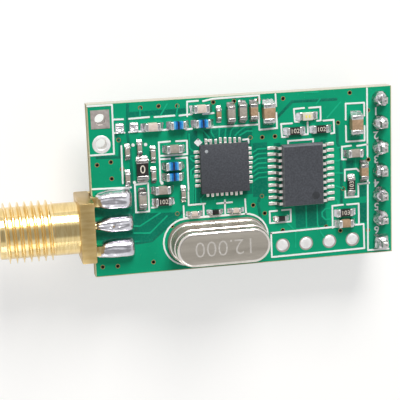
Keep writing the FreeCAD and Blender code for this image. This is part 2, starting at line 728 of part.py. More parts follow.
def make_crystal():
    """Crystal lying on the board: base plate, drawn can with a collar, leads through the board, solder below."""
    x, y = BOARD_LEFT + CRYSTAL_X, BOARD_FRONT + CRYSTAL_Y
    length, width = size("crystal_length"), size("crystal_width")
    base = new_body("crystal_base")
    plate = new_sketch(base, "XY_Plane", "crystal_plate_outline")
    stadium(plate, length, width)
    pad(base, plate, size("crystal_plate"))
    subpart(base, "crystal_base", x, y, FACE_HEIGHT)
    can = new_body("crystal_can")
    collar = new_sketch(can, "XY_Plane", "can_collar")
    inset = size("collar_inset") * 2
    stadium(collar, length - inset, width - inset)
    pad(can, collar, size("collar_height"))
    wall = new_sketch(can, "XY_Plane", "can_wall")
    inset = size("can_inset") * 2
    stadium(wall, length - inset, width - inset)
    can_height = size("crystal_height") - size("crystal_plate")
    drawn = pad(can, wall, can_height)
    slope = size("can_round") * 0.7
    sloped = sloped_edges(can, "can_top_slope", drawn, [can_height], slope)
    sloped_edges(can, "can_top_corners", sloped, [can_height, can_height - slope], size("can_round") * 0.2)
    subpart(can, "crystal_can", x, y, FACE_HEIGHT + size("crystal_plate"))
    leads = []
    joints = []
    radius = size("lead_diameter") / 2
    for number, side in ((1, -1), (2, 1)):
        along = size("lead_spacing") * side / 2
        reach = BOARD_THICKNESS + size("lead_below")
        leads.append(prism(f"crystal_lead_{number}", JOINT_SIDES, radius, reach, x=along, z=-reach))
        drop = size("lead_below") * 0.8
        cone = lofted(f"crystal_joint_{number}_cone", JOINT_SIDES, (
            (radius + CLEARANCE * 5, -drop),
            (size("lead_hole") * 0.95, NONE),
        ))
        space = prism(f"crystal_joint_{number}_lead", JOINT_SIDES, radius + CLEARANCE, drop * 3, z=-drop * 2)
        joint = cut(f"crystal_joint_{number}", cone, space)
        place(joint, along, NONE, -BOARD_THICKNESS)
        joints.append(joint)
    subpart(group("crystal_leads", leads), "crystal_leads", x, y, FACE_HEIGHT)
    subpart(group("crystal_joints_back", joints), "crystal_joints_back", x, y, FACE_HEIGHT)


def make_transceiver():
    """Square chip: 32 flat terminals around its edge and one plate under its middle carry the moulded block."""
    x, y = TRANSCEIVER
    side = size("transceiver_side")
    width = size("terminal_width")
    length = size("terminal_length")
    height = size("terminal_height")
    terminals = [middle_box("transceiver_plate", side * 0.62, side * 0.62, height)]
    for place_in_row in range(8):
        along = size("terminal_pitch") * (place_in_row - 3.5)
        out = side / 2 - length / 2 + 0.02
        for word, direction in (("right", 1), ("left", -1)):
            name = f"terminal_{word}_{place_in_row + 1}"
            terminals.append(middle_box(name, length, width, height, out * direction, along))
        for word, direction in (("top", 1), ("bottom", -1)):
            name = f"terminal_{word}_{place_in_row + 1}"
            terminals.append(middle_box(name, width, length, height, along, out * direction))
    subpart(group("transceiver_terminals", terminals), "transceiver_terminals", x, y, FACE_HEIGHT)
    block = new_body("transceiver_body")
    foot = new_sketch(block, "XY_Plane", "transceiver_outline")
    rectangle(foot, NONE, NONE, side, side)
    pad(block, foot, size("transceiver_height") - height)
    subpart(block, "transceiver_body", x, y, FACE_HEIGHT + height)


def make_controller():
    """Oblong chip: a moulded block that slopes up and down from a band at half height, and 20 bent leads."""
    x, y = CONTROLLER
    width, length = size("controller_width"), size("controller_length")
    thickness = size("lead_thickness")
    standoff = size("controller_standoff")
    moulding = size("controller_height") - standoff
    slope = -size("controller_draft")
    block = new_body("controller_body")
    band = new_sketch(block, "XY_Plane", "controller_band", -thickness / 2)
    rectangle(band, NONE, NONE, width, length)
    pad(block, band, thickness)
    for word, backwards, lift in (("upper", False, thickness / 2), ("lower", True, -thickness / 2)):
        half = new_sketch(block, "XY_Plane", f"controller_{word}", lift)
        rectangle(half, NONE, NONE, width, length)
        pad(block, half, (moulding - thickness) / 2, backwards=backwards, taper=slope)
    middle = FACE_HEIGHT + standoff + moulding / 2
    subpart(block, "controller_body", x, y, middle)
    leads = new_body("controller_leads")
    profile = new_sketch(leads, "XZ_Plane", "lead_profile", size("lead_pitch") * 4.5 - size("lead_width") / 2)
    drop = -(standoff + moulding / 2)
    tip = size("controller_span") / 2
    root = width / 2
    bend = tip - size("lead_foot")
    for side in (-1, 1):
        outline(profile, (
            (root * side, thickness / 2),
            (bend * side, thickness / 2),
            ((bend + thickness) * side, drop + thickness),
            (tip * side, drop + thickness),
            (tip * side, drop),
            (bend * side, drop),
            ((bend - thickness) * side, -thickness / 2),
            (root * side, -thickness / 2),
        ))
    pair = pad(leads, profile, size("lead_width"))
    row(leads, pair, "Y_Axis", size("lead_pitch"), 10)
    subpart(leads, "controller_leads", x, y, middle)


# Chip parts: name, size, height, place on the board, upright or not.
CHIP_PARTS = (
    ("capacitor_1", "medium", "medium_height", 20.47, 85.49, False),
    ("capacitor_2", "medium", "medium_height", 36.38, 93.93, False),
    ("capacitor_3", "small", "small_height", 42.05, 89.99, True),
    ("capacitor_4", "medium", "medium_height", 45.98, 89.99, True),
    ("capacitor_5", "medium", "medium_height", 49.76, 90.55, True),
    ("capacitor_6", "medium", "medium_height", 53.39, 90.55, True),
    ("capacitor_7", "large", "large_height", 58.27, 89.15, True),
    ("capacitor_8", "large", "large_height", 87.56, 79.02, True),
    ("capacitor_9", "medium", "medium_height", 87.09, 61.87, False),
    ("capacitor_10", "medium", "medium_height", 90.08, 50.62, True),
    ("capacitor_11", "medium", "medium_height", 83.62, 20.25, False),
    ("capacitor_12", "small", "small_height", 32.91, 33.18, False),
    ("capacitor_13", "small", "small_height", 46.61, 33.18, False),
    ("capacitor_14", "small", "small_height", 12.13, 71.99, True),
    ("capacitor_15", "small", "small_height", 16.06, 73.68, True),
    ("capacitor_16", "small", "small_height", 20.31, 69.46, True),
    ("capacitor_17", "small", "small_height", 11.81, 56.81, True),
    ("capacitor_18", "small", "small_height", 20.16, 57.37, True),
    ("capacitor_19", "medium", "medium_height", 27.09, 71.99, False),
    ("capacitor_20", "medium", "medium_height", 22.83, 48.65, False),
    ("capacitor_21", "small", "small_height", 29.61, 45.28, True),
    ("capacitor_22", "medium", "medium_height", 16.22, 44.15, True),
    ("resistor_1", "large", "resistor_height", 16.69, 61.3, True),
    ("resistor_2", "medium", "resistor_height", 22.99, 41.62, False),
    ("resistor_3", "medium", "resistor_height", 66.93, 77.33, False),
    ("resistor_4", "medium", "resistor_height", 75.75, 77.33, False),
    ("resistor_5", "medium", "resistor_height", 85.83, 42.74, True),
    ("resistor_6", "medium", "resistor_height", 83.62, 26.43, False),
    ("resistor_7", "small", "resistor_height", 61.89, 26.15, False),
    ("resistor_8", "small", "resistor_height", 39.84, 33.18, False),
    ("inductor_1", "medium", "medium_height", 28.66, 85.49, False),
    ("inductor_2", "medium", "medium_height", 36.69, 85.49, False),
    ("inductor_3", "medium", "medium_height", 26.61, 62.15, False),
    ("inductor_4", "medium", "medium_height", 26.61, 55.96, False),
)
BARE_PADS = ((10.08, 85.49), (14.65, 85.49))


def chip_block(name, length, width, height):
    """A ceramic block between two metal ends that stand a little proud of it, centred on the origin."""
    length, width, height = size(length), size(width), size(height)
    proud = size("cap_proud")
    cap = length * size("cap_share")
    ceramic = middle_box(f"{name}_ceramic", length - cap, width - proud * 2, height - proud * 2, z=proud)
    ends = []
    for word, start in (("left", -length / 2), ("right", length / 2 - cap)):
        ends.append(box(f"{name}_{word}_end", cap, width, height, start, -width / 2))
    return fuse(f"{name}_block", [ceramic] + ends)


def solder_toes(name, length, width, height, x, y, upright):
    """The two solder slopes at the ends of one chip part."""
    toes = []
    edge = size("toe_edge")
    for word, direction in (("first", 1), ("second", -1)):
        toe = wedge(f"{name}_{word}_toe", "toe_length", size(width) * 0.96, size(height) * size("toe_share"),
                    NONE, edge, size(width) * 0.8)
        stand = FreeCAD.Rotation(FreeCAD.Vector(1, 0, 0), 90)
        heading = (90 if upright else 0) + (180 if direction < 0 else 0)
        turn = FreeCAD.Rotation(FreeCAD.Vector(0, 0, 1), heading) * stand
        reach = size(length) * direction / 2
        if upright:
            place(toe, x, y + reach, NONE, turn)
        else:
            place(toe, x + reach, y, NONE, turn)
        toes.append(toe)
    return toes


def make_chip_parts():
    """All chip parts, the light, and one group with the solder at their ends and on the two bare pads."""
    solder = []
    for name, kind, height, x, y, upright in CHIP_PARTS:
        block = chip_block(name, f"{kind}_length", f"{kind}_width", height)
        across, up = on_board(x, y)
        subpart(block, name, across, up, FACE_HEIGHT, QUARTER_TURN if upright else STRAIGHT)
        solder += solder_toes(name, f"{kind}_length", f"{kind}_width", height, across, up, upright)
    across, up = on_board(*LIGHT)
    light_height = size("resistor_height") * 0.6
    light = chip_block("led_base", "medium_length", "medium_width", light_height)
    subpart(light, "led_base", across, up, FACE_HEIGHT)
    lens = new_body("led_lens")
    foot = new_sketch(lens, "XY_Plane", "lens_outline")
    rectangle(foot, NONE, NONE, "lens_length", "medium_width")
    pad(lens, foot, "lens_height", taper=-size("controller_draft"))
    subpart(lens, "led_lens", across, up, FACE_HEIGHT + light_height)
    solder += solder_toes("led", "medium_length", "medium_width", light_height, across, up, False)
    for number, (x, y) in enumerate(BARE_PADS, start=1):
        across, up = on_board(x, y)
        block = middle_box(f"bare_pad_{number}", size("medium_width") * 1.15, size("medium_width") * 1.35,
                           size("toe_edge") * 3, across, up)
        solder.append(block)
    subpart(group("chip_joints", solder), "chip_joints", NONE, NONE, FACE_HEIGHT)


def check_and_write():
    """Stops at any object that failed and writes one file for each sub-part."""
    doc.recompute()
    for item in doc.Objects:
        if "Invalid" in item.State or "Error" in item.State:
            raise RuntimeError(f"{item.Name} failed: {item.State}")
    os.makedirs("parts", exist_ok=True)
    for item in subparts:
        if item.Shape.isNull() or not item.Shape.isValid():
            raise RuntimeError(f"{item.Label} has no valid shape")
        item.Shape.exportStep(os.path.join("parts", f"{item.Label}.step"))
        bounds = item.Shape.BoundBox
        print(f"{item.Label}: {len(item.Shape.Solids)} solids, {item.Shape.Volume:.3f} mm3, "
              f"x {bounds.XMin:.2f} to {bounds.XMax:.2f}, y {bounds.YMin:.2f} to {bounds.YMax:.2f}, "
              f"z {bounds.ZMin:.2f} to {bounds.ZMax:.2f}")


make_board()
make_antenna_pads()
make_port_joints()
make_jack_shell()
make_jack_core()
make_jack_joints()
make_header()
make_crystal()
make_transceiver()
make_controller()
make_chip_parts()
check_and_write()
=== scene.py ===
# %% [markdown]
# # Wireless serial module
# A small green circuit board carries a gilt coaxial jack, a metal-cased crystal, two moulded chips, a light,
# thirty-four chip parts and a row of seven pins. The solid model gives the exact places and sizes. This
# script dresses it: solder mask, printed ink, solder that has flowed, a cut thread and moulded, drawn or
# fired skins.

import math
import random

import bmesh
import bpy
from bmesh.types import BMEdge, BMFace, BMVert
from mathutils import Matrix, Vector, noise


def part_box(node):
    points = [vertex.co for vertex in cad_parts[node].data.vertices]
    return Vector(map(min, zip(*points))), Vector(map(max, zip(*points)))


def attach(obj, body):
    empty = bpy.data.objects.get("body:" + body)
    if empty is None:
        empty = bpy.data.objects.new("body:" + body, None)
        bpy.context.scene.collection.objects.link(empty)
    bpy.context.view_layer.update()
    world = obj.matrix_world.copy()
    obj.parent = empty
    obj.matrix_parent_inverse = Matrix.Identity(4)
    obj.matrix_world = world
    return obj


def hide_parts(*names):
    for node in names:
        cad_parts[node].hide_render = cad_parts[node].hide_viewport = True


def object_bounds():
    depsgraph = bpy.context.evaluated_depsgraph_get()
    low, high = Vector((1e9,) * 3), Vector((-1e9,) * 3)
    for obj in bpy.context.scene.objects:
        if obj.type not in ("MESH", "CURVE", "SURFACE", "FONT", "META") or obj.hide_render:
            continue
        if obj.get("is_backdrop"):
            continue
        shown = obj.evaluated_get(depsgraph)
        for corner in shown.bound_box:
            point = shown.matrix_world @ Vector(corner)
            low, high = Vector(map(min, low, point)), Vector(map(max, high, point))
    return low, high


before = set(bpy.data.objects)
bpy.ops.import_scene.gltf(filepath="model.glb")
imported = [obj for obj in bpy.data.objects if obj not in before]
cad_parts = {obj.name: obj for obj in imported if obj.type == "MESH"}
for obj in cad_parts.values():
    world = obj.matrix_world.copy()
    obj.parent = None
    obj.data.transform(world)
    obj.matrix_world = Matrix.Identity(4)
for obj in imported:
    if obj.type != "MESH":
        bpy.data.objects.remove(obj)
SOLID_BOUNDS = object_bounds()
CHANCE = random.Random(7)
print("solid pieces:", len(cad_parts))

# %% [markdown]
# ## Units and places
# Small parts are easier to read in millimetres, so every mesh is made in millimetres and shrunk to metres
# once, when it becomes an object. A place on the board counts from the board's lower left corner on its
# component side. Both corners come from the solid board, so the two models can't drift apart.

# %% Millimetres and board places
MM = 0.001


def node_box(name):
    """Lowest and highest corner of one solid piece, in millimetres."""
    low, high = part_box(name)
    return Vector(low) / MM, Vector(high) / MM


BOARD_LOW, BOARD_HIGH = node_box("board")
BOARD_LENGTH = BOARD_HIGH.x - BOARD_LOW.x
FACE = BOARD_HIGH.z
UNDERSIDE = BOARD_LOW.z


def flat(points):
    """Places drawn on the board, as flat points of the whole model."""
    return [tuple(Vector((BOARD_LOW.x + x, BOARD_LOW.y + y))) for x, y in points]


def at(x, y, z=0.0):
    """A move to a place."""
    return Matrix.Translation((x, y, z))


def turned(degrees, axis="Z"):
    """A turn about an axis."""
    return Matrix.Rotation(math.radians(degrees), 4, axis)


print(f"board {BOARD_LENGTH:.2f} by {BOARD_HIGH.y - BOARD_LOW.y:.2f} mm, component face at {FACE:.2f} mm")

# %% [markdown]
# ## Camera
# The photograph looks down on the component side from a little beyond the upper left of the board's middle.
# A pinhole camera fitted to the pitch of the pins, leads and thread gives its place and turn. The lens is
# long, so the far end of the board is hardly smaller than the near end.

# %% Camera
CAMERA_PLACE = Vector((-23.695, 26.52, 131.09))
CAMERA_RIGHT = Vector((0.9802, -0.0370, 0.1943))
CAMERA_UP = Vector((0.0775, 0.9756, -0.2054))
CAMERA_LENS = 114.22
SENSOR_WIDTH = 36.0
CLIP_START = 0.01

camera = bpy.data.objects.new("camera", bpy.data.cameras.new("camera"))
bpy.context.scene.collection.objects.link(camera)
back = CAMERA_RIGHT.cross(CAMERA_UP).normalized()
up = back.cross(CAMERA_RIGHT).normalized()
turn = Matrix((CAMERA_RIGHT.normalized(), up, back)).transposed()
camera.matrix_world = Matrix.Translation(CAMERA_PLACE * MM) @ turn.to_4x4()
camera.data.lens = CAMERA_LENS
camera.data.sensor_width = SENSOR_WIDTH
camera.data.clip_start = CLIP_START
bpy.context.scene.camera = camera
bpy.context.scene.view_settings.view_transform = "Standard"
print("camera", round(CAMERA_PLACE.length), "mm away")

# %% [markdown]
# ## Colours and nodes
# Colours are written as they look on a screen and turned into the linear values that light works with by one
# function. A second small function adds a shader node with its settings and links. A third clears the nodes
# that Blender gives a new material or world, so that only those written here are left.

# %% Colour and node helpers


def linear(code, alpha=1.0):
    """Turns a screen colour such as 0x1A9A6C into linear red, green, blue and alpha."""
    channels = [(code >> shift & 255) / 255 for shift in (16, 8, 0)]
    return [c / 12.92 if c <= 0.04045 else ((c + 0.055) / 1.055) ** 2.4 for c in channels] + [alpha]


def add(tree, kind, values=None, links=None, **settings):
    """Adds one node; values fill its inputs, links join its inputs to other nodes' outputs."""
    made = tree.nodes.new(kind)
    for key, value in settings.items():
        setattr(made, key, value)
    for key, value in (values or {}).items():
        made.inputs[key].default_value = value
    for key, source in (links or {}).items():
        tree.links.new(source, made.inputs[key])
    return made


def empty_tree(owner):
    """The cleared node tree of a new material or world."""
    owner.use_nodes = True
    owner.node_tree.nodes.clear()
    return owner.node_tree


print("middle grey is", round(linear(0x808080)[0], 3))

# %% [markdown]
# ## One way to give a surface its skin
# Real skins are never one flat tone. Patches of two close colours, an uneven gloss and a fine relief give
# each material its scale. Patch and grain are sizes in millimetres, relief is a depth in millimetres, and all
# of them are read from the object's own coordinates, so that the skin stays put from every side. The first
# skin made this way is the printed ink, a matt white epoxy.

# %% Skin helper


def skin_nodes(name, dark, light, rough, patch, grain, relief, metal=0.0, stretch=(1, 1, 1), **values):
    """A skin of two tones, uneven gloss and fine relief; returns its material, tree, shader and tone."""
    material = bpy.data.materials.new(name)
    tree = empty_tree(material)
    shader = add(tree, "ShaderNodeBsdfPrincipled", {"Metallic": metal, **values})
    add(tree, "ShaderNodeOutputMaterial", links={"Surface": shader.outputs[0]})
    place = add(tree, "ShaderNodeTexCoord").outputs["Object"]
    drawn = add(tree, "ShaderNodeMapping", {"Scale": stretch}, {"Vector": place}).outputs[0]
    patches = add(tree, "ShaderNodeTexNoise", {"Scale": 1 / (patch * MM), "Detail": 5.0}, {"Vector": drawn})
    levels = {"From Min": 0.35, "From Max": 0.65}
    share = add(tree, "ShaderNodeMapRange", levels, {"Value": patches.outputs[0]}).outputs[0]
    tone = add(tree, "ShaderNodeMix", {6: linear(dark), 7: linear(light)}, {0: share}, data_type="RGBA")
    grains = add(tree, "ShaderNodeTexNoise", {"Scale": 1 / (grain * MM), "Detail": 3.0}, {"Vector": drawn})
    levels = {"From Min": 0.3, "From Max": 0.7, "To Min": rough[0], "To Max": rough[1]}
    gloss = add(tree, "ShaderNodeMapRange", levels, {"Value": grains.outputs[0]})
    bump = add(tree, "ShaderNodeBump", {"Distance": relief * MM}, {"Height": grains.outputs[0]})
    tree.links.new(tone.outputs[2], shader.inputs["Base Color"])
    tree.links.new(gloss.outputs[0], shader.inputs["Roughness"])
    tree.links.new(bump.outputs[0], shader.inputs["Normal"])
    return material, tree, shader, tone


def skin(*finish, **values):
    """The material alone, for a surface that needs nothing more."""
    return skin_nodes(*finish, **values)[0]


INK = skin("screen_printed_ink", 0xF8F8F4, 0xFFFFFE, (0.45, 0.60), 0.8, 0.05, 0.004)
print(INK.name, "has", len(INK.node_tree.nodes), "nodes")

# %% [markdown]
# ## The board's own materials
# The core is glass cloth in resin, cream at its cut edge where the layers show as fine lines. Its upper edge
# has a paler, greyer tone than the sawn ones. Liquid mask was printed over the board and cured: glossy and
# bright green over copper, darker and bluer where only resin lies beneath; the same darker mask is also laid
# as painted shade beside the jack's pools and round the two chips. Bare copper was dipped in tin, which is
# dull on the port rims and pale where hot air levelled it; the square antenna pad's grey is a painted dark
# reflection.
# Plated ends are mirror-bright, leads are paler, and their bends are painted dark, a painted reflection on
# top of plating dulled by the bend. The small holes have a brown copper rim and a lining painted almost
# black, a painted shade in the bore.

# %% Board materials
MASK_GLOSS = {"Specular IOR Level": 0.2}
MASK_OVER_COPPER = skin("solder_mask_over_copper", 0x089A70, 0x0BA578, (0.18, 0.28), 3.0, 0.35, 0.0025,
                        **MASK_GLOSS)
MASK_OVER_CORE_AND_SHADE = skin("solder_mask_over_core", 0x08735A, 0x0A8064, (0.22, 0.32), 2.0, 0.30, 0.0030,
                      **MASK_GLOSS)
MASK_ON_TRACE = skin("solder_mask_on_trace", 0x12AC7E, 0x1CB68A, (0.18, 0.28), 1.5, 0.30, 0.0020,
                     **MASK_GLOSS)
TIN_DULL = skin("tin_dipped_copper", 0xA89D98, 0xC4BAB4, (0.42, 0.58), 0.5, 0.12, 0.012, metal=0.85)
TIN_BRIGHT = skin("tin_plating", 0xC6C3C1, 0xE6E4E2, (0.14, 0.28), 0.35, 0.16, 0.018, metal=1.0)
TIN_LEAD = skin("tin_lead_plated", 0xE8E0D8, 0xFAF5EE, (0.26, 0.40), 0.35, 0.18, 0.020, metal=0.8)
TIN_BENT_PAINTED_REFLECTION = skin("tin_lead_plated_bent", 0x6A6260, 0x8A817C, (0.40, 0.55), 0.2, 0.14, 0.020, metal=0.8)
TIN_PAINTED_SHADE = skin("tin_plated_matte", 0x9C9794, 0xC0BBB8, (0.18, 0.32), 0.30, 0.30, 0.035, metal=1.0)
TIN_PALE = skin("tin_levelled", 0xEBE8E5, 0xFAF9F7, (0.42, 0.56), 0.6, 0.14, 0.008, metal=0.5)
COPPER_RIM = skin("copper_rim_bare", 0x9C7F50, 0xBA9C68, (0.40, 0.55), 0.3, 0.06, 0.006, metal=0.6)
COPPER_LINING_PAINTED_SHADE = skin("copper_lining_oxidised", 0x120E0A, 0x211A12, (0.55, 0.70), 0.3, 0.06, 0.006)

CLOTH_LAYER = 0.2
UPPER_TONE_DEPTH = 0.004
CORE, tree, shader, tone = skin_nodes("glass_cloth_laminate_sawn", 0xCFC49A, 0xE2DABA, (0.55, 0.75), 0.9,
                                      0.06, 0.015, stretch=(0.3, 0.3, 1.5))
place = add(tree, "ShaderNodeTexCoord").outputs["Object"]
waves = {"Scale": math.tau / (CLOTH_LAYER * MM) / 20, "Distortion": 2.5, "Detail": 3.0}
layers = add(tree, "ShaderNodeTexWave", waves, {"Vector": place}, bands_direction="Z")
layered = add(tree, "ShaderNodeMix", {7: linear(0xB5A97C)}, {0: layers.outputs[1], 6: tone.outputs[2]},
              data_type="RGBA")
ends = add(tree, "ShaderNodeSeparateXYZ", links={0: place})
# The upper edge gets a paler, greyer tone.
upper_edge = add(tree, "ShaderNodeMath", {1: (BOARD_HIGH.y - UPPER_TONE_DEPTH) * MM}, {0: ends.outputs["Y"]},
                 operation="GREATER_THAN")
upper_toned = add(tree, "ShaderNodeMix", {7: linear(0xD2CDBE)}, {0: upper_edge.outputs[0], 6: layered.outputs[2]},
             data_type="RGBA")
tree.links.new(upper_toned.outputs[2], shader.inputs["Base Color"])
print("board materials:", len(bpy.data.materials))

# %% [markdown]
# ## Metals
# Solder froze from a melt, so it is bright, with shallow creases where it was worked by hand; on the small
# upright parts it is painted darker with a coarser grain, a painted shade that damps the lamp's glint. The
# jack is turned brass under a thin gilt layer; the turning marks run round it, so its noise is drawn out
# across the axis, and the milled flange is duller. The crystal's can is drawn nickel-plated steel: satin on
# top from the brush, mirror-bright where the die has rounded it, and painted darker and browner on its
# upright sides and base plate, a painted shade.

# %% Metal materials
SOLDER = skin("solder_reflowed", 0xCAC7CA, 0xECEBED, (0.10, 0.24), 0.35, 0.22, 0.036, metal=1.0)
SOLDER_PAINTED_SHADE = skin("solder_cooled_slowly", 0x8C8886, 0xB6B2AF, (0.16, 0.32), 0.26, 0.40, 0.055,
                      metal=1.0)
SOLDER_HEADER = skin("solder_domed", 0xA8A6A8, 0xDEDCDC, (0.06, 0.18), 0.30, 0.30, 0.060, metal=1.0)
TIN_WETTED = skin("tin_pin_wetted", 0x9F9C99, 0xC6C3C0, (0.16, 0.30), 0.30, 0.16, 0.010, metal=1.0)
SOLDER_CREASED = skin("solder_hand_made", 0xC6C3C8, 0xE8E5EA, (0.12, 0.26), 1.1, 0.60, 0.028, metal=1.0)
GILT = skin("gilt_brass_turned", 0xE6C88A, 0xF5DCA2, (0.08, 0.16), 0.8, 0.06, 0.0015, metal=1.0,
            stretch=(4.0, 0.6, 0.6))
GILT_THREAD = skin("gilt_brass_threaded", 0xEACF94, 0xF8E2B0, (0.14, 0.24), 0.8, 0.06, 0.0015, metal=1.0,
                   stretch=(4.0, 0.6, 0.6))
GILT_FLAT = skin("gilt_brass_milled", 0xC0A268, 0xD0B580, (0.30, 0.42), 1.2, 0.08, 0.006, metal=1.0,
                 stretch=(0.6, 3.0, 0.6))
CAN_TOP = skin("nickel_steel_brushed", 0xACA498, 0xBFB7AB, (0.40, 0.52), 1.8, 0.09, 0.005, metal=1.0,
               stretch=(0.12, 1.6, 1.0))
CAN_WALL = skin("nickel_steel_drawn", 0xD8CFC6, 0xEAE3DB, (0.16, 0.24), 1.2, 0.30, 0.0005, metal=1.0)
CAN_SIDE_PAINTED_SHADE = skin("nickel_steel_ironed", 0x94867A, 0xAC9F94, (0.34, 0.46), 1.2, 0.20, 0.0020, metal=0.35,
                stretch=(1.0, 1.0, 0.3))
ENGRAVED = skin("nickel_steel_engraved", 0xC6C0B8, 0xD6D0C8, (0.45, 0.60), 0.3, 0.04, 0.006, metal=0.8)
print("with metals:", len(bpy.data.materials))

# %% [markdown]
# ## Plastics, ceramics and glass
# Moulding compound is black epoxy full of ground silica, which leaves a grey matt skin; the oblong chip's
# upper slopes are painted lighter, a painted sheen. Sintered ceramics are matt and faintly speckled, each in
# the colour of its own recipe. The resistors carry a dark glaze and printed digits, the inductors a blue coat
# that is deeper in its thick middle. The light has a white base and a clear block with two spots of yellow
# gel inside.

# %% Plastic and ceramic materials
MOULDING = skin("epoxy_moulding_compound", 0x383A3F, 0x4A4C52, (0.50, 0.68), 0.16, 0.06, 0.012)
MOULDING_SMOOTH = skin("epoxy_moulding_pressed", 0x2B2D30, 0x37393D, (0.34, 0.46), 0.3, 0.05, 0.003)
MOULDING_PAINTED_SHEEN = skin("epoxy_moulding_sloped", 0x5C5E63, 0x707277, (0.36, 0.48), 0.2, 0.05, 0.006)
MOULDING_DIMPLE = skin("epoxy_moulding_polished", 0xA9AEB1, 0xC4C8CA, (0.20, 0.30), 0.3, 0.05, 0.003)
BLACK_PLASTIC = skin("glass_filled_nylon_moulded", 0x17181A, 0x222326, (0.45, 0.62), 0.9, 0.08, 0.010)
WHITE_CORE = skin("fluoropolymer_turned", 0xE6E3DA, 0xF2EFE8, (0.35, 0.48), 0.8, 0.07, 0.004)
TAN_CERAMIC = skin("ceramic_tan_sintered", 0xA58768, 0xBD9D7C, (0.48, 0.62), 0.25, 0.035, 0.008)
GREY_CERAMIC = skin("ceramic_grey_sintered", 0x9E958A, 0xB3A99D, (0.45, 0.60), 0.25, 0.035, 0.008)
DIGIT_INK = skin("digit_ink_printed", 0xE9DFCB, 0xF6EEDD, (0.45, 0.60), 0.3, 0.05, 0.002)
PINK_CERAMIC = skin("ceramic_pink_sintered", 0xDDC8BA, 0xEBDACE, (0.45, 0.60), 0.25, 0.035, 0.008)
GLAZE = skin("resistor_glaze_fired", 0x15110F, 0x241F1C, (0.26, 0.40), 0.3, 0.05, 0.005)
BLUE_COAT = skin("inductor_coat_fired", 0x35A0DC, 0x62BEEC, (0.20, 0.34), 0.3, 0.05, 0.005)
BLUE_DEEP = skin("inductor_coat_thick", 0x0060B0, 0x0C78C8, (0.20, 0.34), 0.3, 0.05, 0.004)
DARK_PRINT_AND_SLOT_SHADE = skin("inductor_mark_printed", 0x0C1C30, 0x163050, (0.30, 0.42), 0.3, 0.05, 0.003)
WHITE_PLASTIC = skin("polyamide_white_moulded", 0xEAE7DD, 0xF6F4ED, (0.40, 0.52), 0.4, 0.06, 0.005)
PHOSPHOR = skin("phosphor_gel_cast", 0xF2DC50, 0xFAEC78, (0.30, 0.42), 0.2, 0.04, 0.004)
CLEAR_RESIN = skin("clear_resin_cast", 0xFBF3DA, 0xFFFAEA, (0.06, 0.14), 0.6, 0.10, 0.003,
                   **{"Transmission Weight": 0.2, "IOR": 1.5})
print("materials:", len(bpy.data.materials))

# %% [markdown]
# ## Making pieces
# Each piece is drawn with mesh operators in millimetres. A line of edges is grown one vertex at a time, and
# the area between such edges is filled and given a thickness. The last step shrinks a mesh to metres, points
# its faces outward, hangs it under the root body and hides the solid pieces that it stands for.

# %% Lines and areas
CORNERS = ((-1, -1), (1, -1), (1, 1), (-1, 1))


def sort_out(items, kind):
    """The vertices, edges or faces among mixed parts of a mesh."""
    return [item for item in items if isinstance(item, kind)]


def paint(bm, before, index):
    """Gives the faces that weren't there before a material."""
    for face in bm.faces:
        if face not in before:
            face.material_index = index


def line(bm, points, closed=False):
    """A line of edges through the points; returns its vertices and edges."""
    first = bmesh.ops.create_vert(bm, co=points[0])["vert"][0]
    geom, last = [first], first
    for point in points[1:]:
        grown = bmesh.ops.extrude_vert_indiv(bm, verts=[last])
        last = grown["verts"][0]
        last.co = point
        geom += grown["verts"] + grown["edges"]
    if closed:
        geom += bmesh.ops.contextual_create(bm, geom=[last, first])["edges"]
    return geom


def outline(bm, points):
    """The edges of a closed line through the points."""
    return sort_out(line(bm, points, closed=True), BMEdge)


def ring(bm, radius, matrix, segments=48):
    """The edges of a circle at a place."""
    made = bmesh.ops.create_circle(bm, segments=segments, radius=radius, matrix=matrix)["verts"]
    return list({edge for vert in made for edge in vert.link_edges})


def thicken(bm, faces, step):
    """Extrudes faces by a step; returns the parts that grew."""
    grown = bmesh.ops.extrude_face_region(bm, geom=faces)["geom"]
    bmesh.ops.translate(bm, vec=step, verts=sort_out(grown, BMVert))
    return grown


def fill(bm, edges, step, material=0):
    """Fills the area between edges, leaves its holes open and gives it a thickness."""
    before = set(bm.faces)
    filled = bmesh.ops.triangle_fill(bm, edges=edges, use_beauty=True, normal=Vector(step).normalized())
    thicken(bm, sort_out(filled["geom"], BMFace), step)
    paint(bm, before, material)


def finish_piece(bm, name, materials, nodes=(), smooth=True, crease=35):
    """Turns a mesh drawn in millimetres into an object of the model."""
    bmesh.ops.remove_doubles(bm, verts=bm.verts, dist=1e-5)
    bmesh.ops.recalc_face_normals(bm, faces=bm.faces)
    bmesh.ops.scale(bm, vec=(MM, MM, MM), verts=bm.verts)
    for face in bm.faces:
        face.smooth = smooth
    mesh = bpy.data.meshes.new(name)
    bm.to_mesh(mesh)
    bm.free()
    for material in materials:
        mesh.materials.append(material)
    if smooth:
        mesh.set_sharp_from_angle(angle=math.radians(crease))
    piece = bpy.data.objects.new(name, mesh)
    bpy.context.scene.collection.objects.link(piece)
    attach(piece, "root")
    if nodes:
        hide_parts(*nodes)
    print(f"{name}: {len(mesh.polygons)} faces")


print("pieces are drawn at", round(1 / MM), "times their size")

# %% [markdown]
# ## The laminate core
# The solid board itself is the sawn core: it keeps its own holes, and only its material is changed. All that
# is printed or soldered lies on it in thin layers in their true order, copper under mask under ink.

# %% Laminate core
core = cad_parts["board"].data
core.materials.clear()
core.materials.append(CORE)
print("core keeps", len(core.polygons), "faces")
